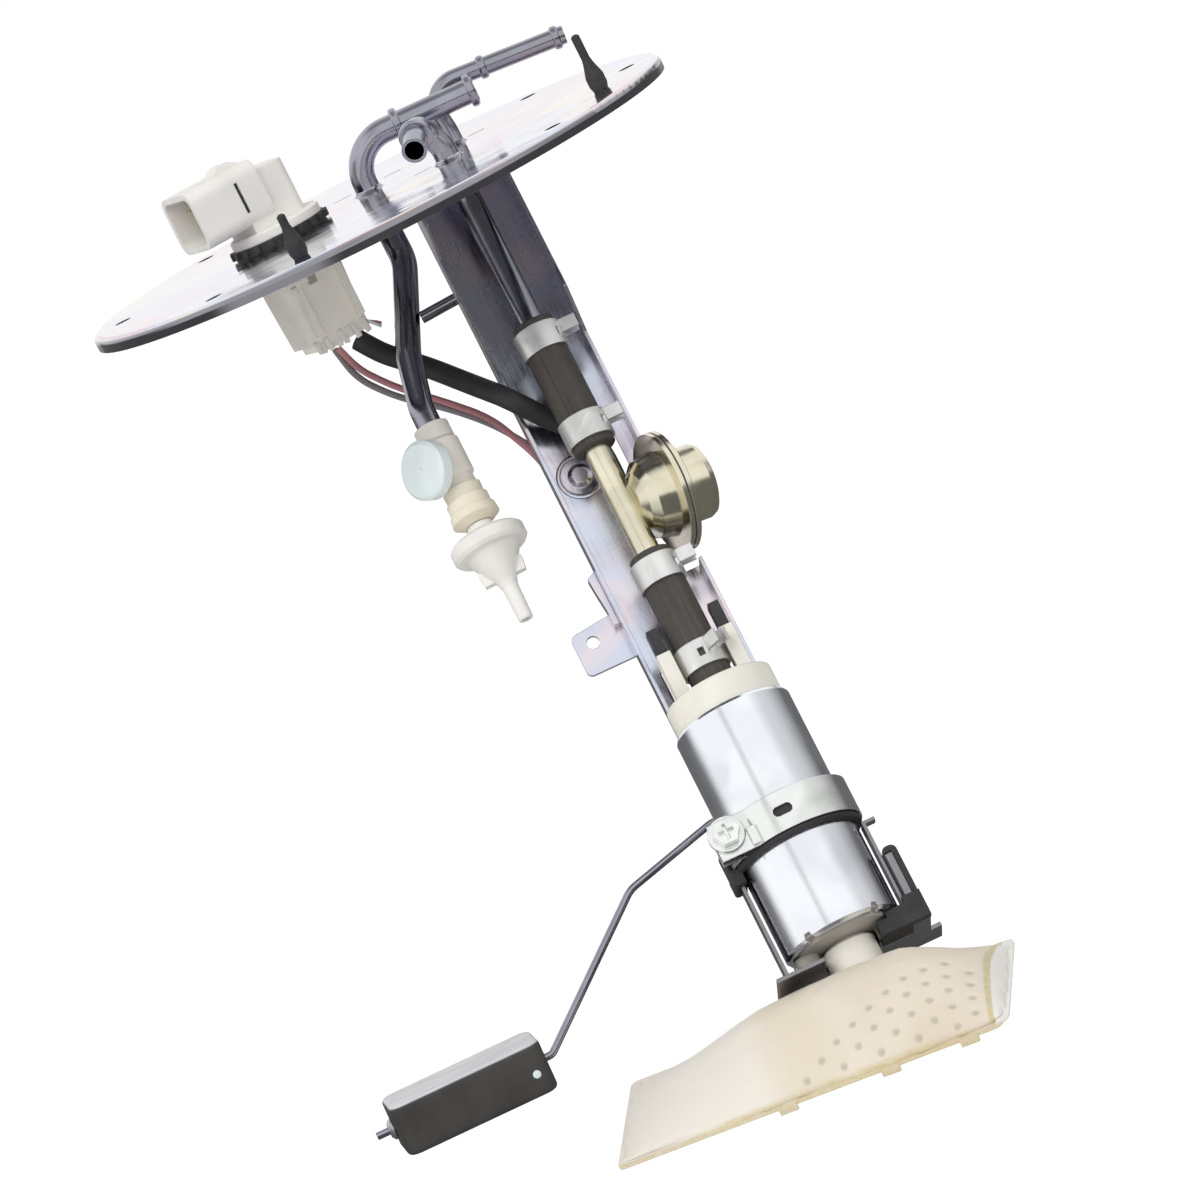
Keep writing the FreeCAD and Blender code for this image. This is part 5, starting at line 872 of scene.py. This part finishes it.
def make_lead_pair():
    """Part the two moulded leads of the sender so that each takes its own colour."""
    bm = merged_copy("sender_leads")
    bm.verts.ensure_lookup_table()
    first = set(grown_island(bm.verts[0]))
    other = [v for v in bm.verts if v not in first]
    if not other:
        raise RuntimeError("the leads are one solid")
    pair = []
    for keep in (first, set(other)):
        copy = bmesh.new()
        links = {v: copy.verts.new(v.co) for v in bm.verts if v in keep}
        for face in bm.faces:
            if face.verts[0] in keep:
                copy.faces.new([links[v] for v in face.verts])
        pair.append((sum((v.co.y for v in copy.verts)) / len(copy.verts), copy))
    bm.free()
    pair.sort(key=lambda item: item[0])
    looks = {"sender_lead_red": "second_lead", "sender_lead_grey": "lead_cover"}
    for (_, copy), name in zip(pair, looks):
        thing = add_piece(name, copy, "module", "lead_cover", smooth=60, look=looks[name])
        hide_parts("sender_leads")


def make_pressed_ring():
    """The ring pressed into the web round the rivet."""
    bm = bmesh.new()
    seat = Matrix.Translation(RIVET_MIDDLE) @ turned("X", 90)
    profile = [(7.8, -0.1), (7.4, 0.12), (6.9, 0.2), (6.4, 0.12), (6.0, -0.1)]
    turned_ring(bm, profile, 64, seat)
    add_piece("web_pressed_ring", bm, "module", "zinc_steel", HANG, 60)


def make_float_glint():
    """A white disc near the float's right end, standing in for a glint: a painted highlight."""
    bm = bmesh.new()
    seat = Matrix.Translation(FLOAT_GLINT_MIDDLE) @ turned("X", 90)
    turned_ring(bm, [(0.01, -0.3), (1.3, -0.3), (1.3, 0.15), (1.0, 0.3), (0.01, 0.3)], 24, seat)
    add_piece("float_moulding_plug", bm, "float", "foam_float", FLOAT, look="white_plastic")


def follow_check_valve():
    """Give the check valve's spring a mesh of its own."""
    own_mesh(NODES["check_valve_spring"])


# Strainer, in millimetres. The welds begin WELD_DRIFT further right in each row toward the back.

SOCK_HALF_LENGTH = 65
SOCK_HALF_WIDTH = 28.5
SEAM_END = 4.2
SEAM_SIDE = 1.9
SEAM_THICKNESS = 0.9
WELD_ROWS = 9
WELD_FRONT = -25.0
WELD_START = -8.0
WELD_END = 58
WELD_DRIFT = 6.4


def spacer_welds():
    """Centres of the spot welds that hold the bag's inner spacer, in staggered rows."""
    pitch, row = settings("strainer").pitch / MM, settings("strainer").row / MM
    for i in range(WELD_ROWS):
        for step in range(-5, 6):
            x = pitch * (step + 0.5 * (i % 2))
            if WELD_START + WELD_DRIFT * i < x < WELD_END:
                yield x, WELD_FRONT + row * i


def blown_bag(mesh, cap, steps=20, pressure=4.0, voxel=2.6):
    """Swell the bag with pressure inside its sealed outline; returns a new mesh."""
    thing = link("bag_trial", mesh)
    remesh = thing.modifiers.new("even_cells", "REMESH")
    remesh.mode = "VOXEL"
    remesh.voxel_size = voxel * MM
    even = shown_mesh(thing)
    thing.modifiers.clear()
    thing.data = even
    start = [v.co.copy() for v in even.vertices]
    back = SOCK.inverted()
    sealed = thing.vertex_groups.new(name="sealed")
    for v in even.vertices:
        p = (back @ v.co) / MM
        edge = min(SOCK_HALF_LENGTH - abs(p.x), SOCK_HALF_WIDTH - abs(p.y))
        sealed.add([v.index], max(0.0, min(1.0, 1.0 - (edge - 1.5) / 6)), "REPLACE")
    cloth = thing.modifiers.new("swell", "CLOTH")
    cloth.settings.use_pressure = True
    cloth.settings.uniform_pressure_force = pressure
    cloth.settings.vertex_group_mass = "sealed"
    cloth.settings.tension_stiffness = 8
    cloth.settings.bending_stiffness = 0.3
    cloth.settings.effector_weights.gravity = 0
    cloth.point_cache.frame_start = 1
    cloth.point_cache.frame_end = steps
    scene = bpy.context.scene
    for step in range(1, steps + 1):
        scene.frame_set(step)
    blown = shown_mesh(thing)
    scene.frame_set(1)
    for v, home in zip(blown.vertices, start):
        move = v.co - home
        if move.length > cap:
            v.co = home + move.normalized() * cap
    bpy.data.objects.remove(thing)
    return blown


def sealed_border():
    """The flat welded border of the bag, its corners rounded, the one at the front right most."""
    bm = bmesh.new()
    bmesh.ops.create_grid(bm, x_segments=104, y_segments=46, size=1)
    bmesh.ops.scale(bm, vec=(SOCK_HALF_LENGTH, SOCK_HALF_WIDTH, 1), verts=bm.verts)
    inner = [
        face for face in bm.faces
        if abs(face.calc_center_median().x) < SOCK_HALF_LENGTH - SEAM_END
        and abs(face.calc_center_median().y) < SOCK_HALF_WIDTH - SEAM_SIDE
    ]
    bmesh.ops.delete(bm, geom=inner, context="FACES")
    for v in bm.verts:
        radius = 6.5 if v.co.x > 0 > v.co.y else 3
        corner_x = math.copysign(SOCK_HALF_LENGTH - radius, v.co.x)
        corner_y = math.copysign(SOCK_HALF_WIDTH - radius, v.co.y)
        middle = Vector((corner_x, corner_y, 0))
        out = v.co - middle
        if out.x * v.co.x > 0 and out.y * v.co.y > 0:
            square = max(abs(out.x), abs(out.y))
            v.co = middle + out * (square / out.length)
        if abs(v.co.x) > SOCK_HALF_LENGTH - SEAM_END:
            v.co.z += 0.22 * math.sin(v.co.y * 2.2) * math.sin(v.co.y * 0.31 + 1)
    bmesh.ops.solidify(bm, geom=bm.faces[:], thickness=SEAM_THICKNESS)
    low = min(v.co.z for v in bm.verts)
    high = max(v.co.z for v in bm.verts)
    bmesh.ops.translate(bm, vec=(0, 0, -(low + high) / 2), verts=bm.verts)
    return bm


def make_strainer_bag():
    """Blow the bag up inside its outline, draw its welds in, add its border and tabs."""
    bm = merged_copy("strainer_sock")
    back = SOCK.inverted()
    for v in bm.verts:
        p = back @ v.co / MM
        v.co = SOCK @ (Vector((p.x * 0.99, p.y * 0.985, 3 + (p.z - 3) * 0.9)) * MM)
    mesh = bpy.data.meshes.new("strainer_bag_start")
    bm.to_mesh(mesh)
    bm.free()
    mesh = blown_bag(mesh, settings("strainer").swell)
    bm = bmesh.new()
    bm.from_mesh(mesh)
    bmesh.ops.transform(bm, matrix=Matrix.Scale(1 / MM, 4) @ back, verts=bm.verts)
    bmesh.ops.subdivide_edges(bm, edges=bm.edges, cuts=1, use_grid_fill=True, smooth=0.0)
    bmesh.ops.smooth_vert(
        bm, verts=bm.verts, factor=0.5, use_axis_x=True, use_axis_y=True, use_axis_z=True
    )
    welds = list(spacer_welds())
    depth = settings("strainer").depth / MM
    bm.normal_update()
    for v in bm.verts:
        if v.normal.z < 0.2:
            continue
        for x, y in welds:
            gap = ((v.co.x - x) / 1.4) ** 2 + ((v.co.y - y) / 1.0) ** 2
            if gap < 4:
                v.co -= v.normal * depth * math.exp(-gap)
    bag = add_piece("strainer_bag", bm, "module", "sock_fabric", SOCK, smooth=60)
    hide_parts("strainer_sock")
    add_piece("strainer_seams", sealed_border(), "module", "sock_fabric", SOCK)
    tabs = bmesh.new()
    for x in (-8, 26, 52):
        soft_box(tabs, (x - 3, -29.6, -1.9), (x + 3, -28.2, 0.5), 0.25)
    add_piece("strainer_tabs", tabs, "module", "sock_fabric", SOCK)


# Studio


def set_camera():
    stage = settings("studio")
    sight = Vector((0, math.cos(stage.rise), -math.sin(stage.rise)))
    above = Vector((0, math.sin(stage.rise), math.cos(stage.rise)))
    side = Vector((1, 0, 0))
    c, s = math.cos(stage.roll), math.sin(stage.roll)
    right, up = side * c - above * s, side * s + above * c
    lens = bpy.data.cameras.new("photo_camera")
    lens.sensor_width = SENSOR
    lens.sensor_fit = "HORIZONTAL"
    lens.lens = SENSOR * FOCAL_PIXELS / PICTURE_PIXELS
    lens.clip_start, lens.clip_end = 0.05, 60
    cam = link("photo_camera", lens)
    turn = Matrix((right, up, -sight)).transposed().to_4x4()
    cam.matrix_world = Matrix.Translation(CAMERA_TARGET - sight * stage.distance) @ turn
    bpy.context.scene.camera = cam


def seen_rays(f):
    """1 for camera, glossy and transmission rays, which show the background."""
    path = f.node("ShaderNodeLightPath").outputs
    both = f.math("MAXIMUM", path["Is Camera Ray"], path["Is Glossy Ray"])
    return f.math("MAXIMUM", both, path["Is Transmission Ray"])


def set_world():
    world = bpy.data.worlds.new("studio")
    bpy.context.scene.world = world
    world.use_nodes = True
    world.cycles.sampling_method = "NONE"
    f = Finish(world.node_tree, world.node_tree.nodes["Background"])
    f.skin(Color=(1, 1, 1), Strength=f.span(seen_rays(f), 0, 1, settings("studio").ambient, 1.0))


def add_stage_mesh(name, bm):
    thing = link_mesh(name, bm)
    made, f = new_finish(name)
    thing.data.materials.append(made)
    return thing, f


def set_floor(reach=9.0):
    bm = bmesh.new()
    bmesh.ops.create_circle(bm, cap_ends=True, radius=reach, segments=96)
    bmesh.ops.translate(bm, verts=bm.verts, vec=(0, 0, CAD_BOX[0].z - settings("studio").floor_drop))
    floor, f = add_stage_mesh("studio_floor", bm)
    glow = f.math("MULTIPLY", seen_rays(f), 0.3)
    f.skin(Base_Color=(0.86, 0.86, 0.86), Roughness=0.9, Specular_IOR_Level=0.0)
    f.skin(Emission_Color=(1, 1, 1), Emission_Strength=glow)
    floor.visible_glossy = False


def flag_shade(f):
    """How dark the studio is in each direction, in degrees from the viewer and above the horizon.

    There are flags right and left, the dark ground with a window in it, a ceiling and a thin strip.
    """
    unit = f.node("ShaderNodeVectorMath", {"operation": "NORMALIZE"})
    feed(f.tree, unit.inputs[0], f.place())
    x, y, z = f.axes(unit.outputs[0])
    turn = f.math("DEGREES", f.math("ARCTAN2", x, f.math("MULTIPLY", y, -1.0)))
    rise = f.math("DEGREES", f.math("ARCSINE", z))
    dark = settings("studio").flags

    side = f.math("ADD", f.span(turn, 45, 75, 0, 0.35 * dark), f.span(turn, 75, 135, 0, 0.65 * dark))
    limit = f.span(turn, 45, 125, 50, 12)
    edge = f.span(f.math("SUBTRACT", rise, limit), -7, 7, 1, 0)
    right = f.math("MULTIPLY", f.math("MULTIPLY", side, edge), f.span(turn, 150, 164, 1, 0))

    side = f.span(turn, -112, -88, dark, 0)
    limit = f.math("ADD", f.span(turn, -112, -88, 0, 14), f.span(turn, -150, -110, 2, 10))
    edge = f.span(f.math("SUBTRACT", rise, limit), -5, 5, 1, 0)
    left = f.math("MULTIPLY", f.math("MULTIPLY", side, edge), f.span(turn, -166, -154, 0, 1))

    window = f.math("MULTIPLY", f.stripe(turn, -48, 16, 12), f.span(rise, -44, -30))
    horizon = f.span(f.math("ABSOLUTE", turn), 135, 160, 3, -2)
    ground = f.span(f.math("SUBTRACT", rise, horizon), -5, 1, dark, 0)
    ground = f.math("MULTIPLY", ground, f.math("MULTIPLY_ADD", window, -0.75, 1.0))
    ceiling = f.span(rise, 58, 76, 0, 0.55)

    strip = f.math("MULTIPLY", f.stripe(turn, -18, 3, 5), f.stripe(rise, 45, 14, 8))
    shade = f.math("MAXIMUM", f.math("MAXIMUM", right, left), f.math("MAXIMUM", ground, ceiling))
    return f.math("MAXIMUM", shade, f.math("MULTIPLY", strip, 0.3), clamp=True)


def set_flags(radius=3.0):
    """A dome that only reflections see and that darkens them where the studio has its flags."""
    bm = bmesh.new()
    bmesh.ops.create_uvsphere(bm, u_segments=64, v_segments=32, radius=radius)
    dome, f = add_stage_mesh("studio_flags", bm)
    f.skin(Base_Color=(0, 0, 0), Roughness=1.0, Specular_IOR_Level=0.0, Alpha=flag_shade(f))
    dome.visible_camera = dome.visible_diffuse = dome.visible_shadow = False
    dome.visible_transmission = dome.visible_volume_scatter = False


def sun(name, azimuth, height, strength, angle):
    lamp = bpy.data.lights.new(name, "SUN")
    lamp.energy = strength
    lamp.angle = math.radians(angle)
    thing = link(name, lamp)
    a, h = math.radians(azimuth), math.radians(height)
    back = Vector((math.sin(a) * math.cos(h), -math.cos(a) * math.cos(h), math.sin(h)))
    thing.rotation_euler = back.to_track_quat("Z", "Y").to_euler()
    thing.location = back
    thing.visible_glossy = False


# Operators


class PUMP_OT_plated_steel(bpy.types.Operator):
    """Give the flange, pipes, hanger, can, band and inner metal their plated finishes."""

    bl_idname = "pump_module.plated_steel"
    bl_label = "Plated steel"

    def execute(self, context):
        dress(metal=True)
        return {"FINISHED"}


class PUMP_OT_mouldings(bpy.types.Operator):
    """Give the plastics, rubbers, hoses and the float their finishes."""

    bl_idname = "pump_module.mouldings"
    bl_label = "Mouldings and rubber"

    def execute(self, context):
        dress(metal=False)
        return {"FINISHED"}


class PUMP_OT_pipe_feet(bpy.types.Operator):
    """Add the brazed fillets where the pipes pass through the flange."""

    bl_idname = "pump_module.pipe_feet"
    bl_label = "Pipe feet"

    def execute(self, context):
        make_pipe_feet()
        return {"FINISHED"}


class PUMP_OT_plug_fittings(bpy.types.Operator):
    """Add the plug's clip, torn collar and short wires."""

    bl_idname = "pump_module.plug_fittings"
    bl_label = "Plug fittings"

    def execute(self, context):
        make_plug_fittings()
        return {"FINISHED"}


class PUMP_OT_lead_pair(bpy.types.Operator):
    """Colour the sender's two leads apart."""

    bl_idname = "pump_module.lead_pair"
    bl_label = "Sender leads"

    def execute(self, context):
        make_lead_pair()
        return {"FINISHED"}


class PUMP_OT_web_marks(bpy.types.Operator):
    """Add the pressed ring round the hanger's rivet."""

    bl_idname = "pump_module.web_marks"
    bl_label = "Hanger marks"

    def execute(self, context):
        make_pressed_ring()
        return {"FINISHED"}


class PUMP_OT_float_glint(bpy.types.Operator):
    """Add the white disc on the float that stands in for a glint: a painted highlight."""

    bl_idname = "pump_module.float_marks"
    bl_label = "Float marks"

    def execute(self, context):
        make_float_glint()
        return {"FINISHED"}


class PUMP_OT_check_spring(bpy.types.Operator):
    """Give the check valve's spring a mesh of its own."""

    bl_idname = "pump_module.check_spring"
    bl_label = "Check valve spring"

    def execute(self, context):
        follow_check_valve()
        return {"FINISHED"}


class PUMP_OT_strainer(bpy.types.Operator):
    """Blow up the strainer bag and add its welds, seams and tabs."""

    bl_idname = "pump_module.strainer"
    bl_label = "Strainer bag"

    def execute(self, context):
        make_strainer_bag()
        return {"FINISHED"}


class PUMP_OT_studio(bpy.types.Operator):
    """Set up the camera, lamps, floor and the flags that metal reflects."""

    bl_idname = "pump_module.studio"
    bl_label = "Studio"

    def execute(self, context):
        context.scene.view_settings.view_transform = "Standard"
        set_camera()
        set_world()
        set_floor()
        set_flags()
        sun("key", -38, 48, settings("studio").key, 40)
        sun("fill", 30, 8, settings("studio").fill, 60)
        return {"FINISHED"}


STEPS = (
    PUMP_OT_studio,
    PUMP_OT_plated_steel,
    PUMP_OT_mouldings,
    PUMP_OT_pipe_feet,
    PUMP_OT_plug_fittings,
    PUMP_OT_lead_pair,
    PUMP_OT_web_marks,
    PUMP_OT_float_glint,
    PUMP_OT_check_spring,
    PUMP_OT_strainer,
)
SETTINGS = {
    "plating": PlatingSettings,
    "moulding": MouldingSettings,
    "strainer": StrainerSettings,
    "leads": LeadSettings,
    "studio": StudioSettings,
}


class PUMP_PT_module(bpy.types.Panel):
    """Steps and settings of the pump module."""

    bl_idname = "PUMP_PT_module"
    bl_label = "Pump module"
    bl_space_type = "VIEW_3D"
    bl_region_type = "UI"
    bl_category = "Pump module"

    def draw(self, context):
        for step in STEPS:
            self.layout.operator(step.bl_idname)
        for name, group in SETTINGS.items():
            box = self.layout.box()
            box.label(text=group.__doc__)
            for key in group.__annotations__:
                box.prop(getattr(context.scene, "pump_" + name), key)


def register():
    for name, group in SETTINGS.items():
        bpy.utils.register_class(group)
        setattr(bpy.types.Scene, "pump_" + name, PointerProperty(type=group))
    for item in (*STEPS, PUMP_PT_module):
        bpy.utils.register_class(item)


def unregister():
    for item in (PUMP_PT_module, *reversed(STEPS)):
        bpy.utils.unregister_class(item)
    for name, group in SETTINGS.items():
        delattr(bpy.types.Scene, "pump_" + name)
        bpy.utils.unregister_class(group)


def main():
    register()
    for step in STEPS:
        getattr(bpy.ops.pump_module, step.bl_idname.split(".")[1])()
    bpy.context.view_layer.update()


if __name__ == "__main__":
    main()
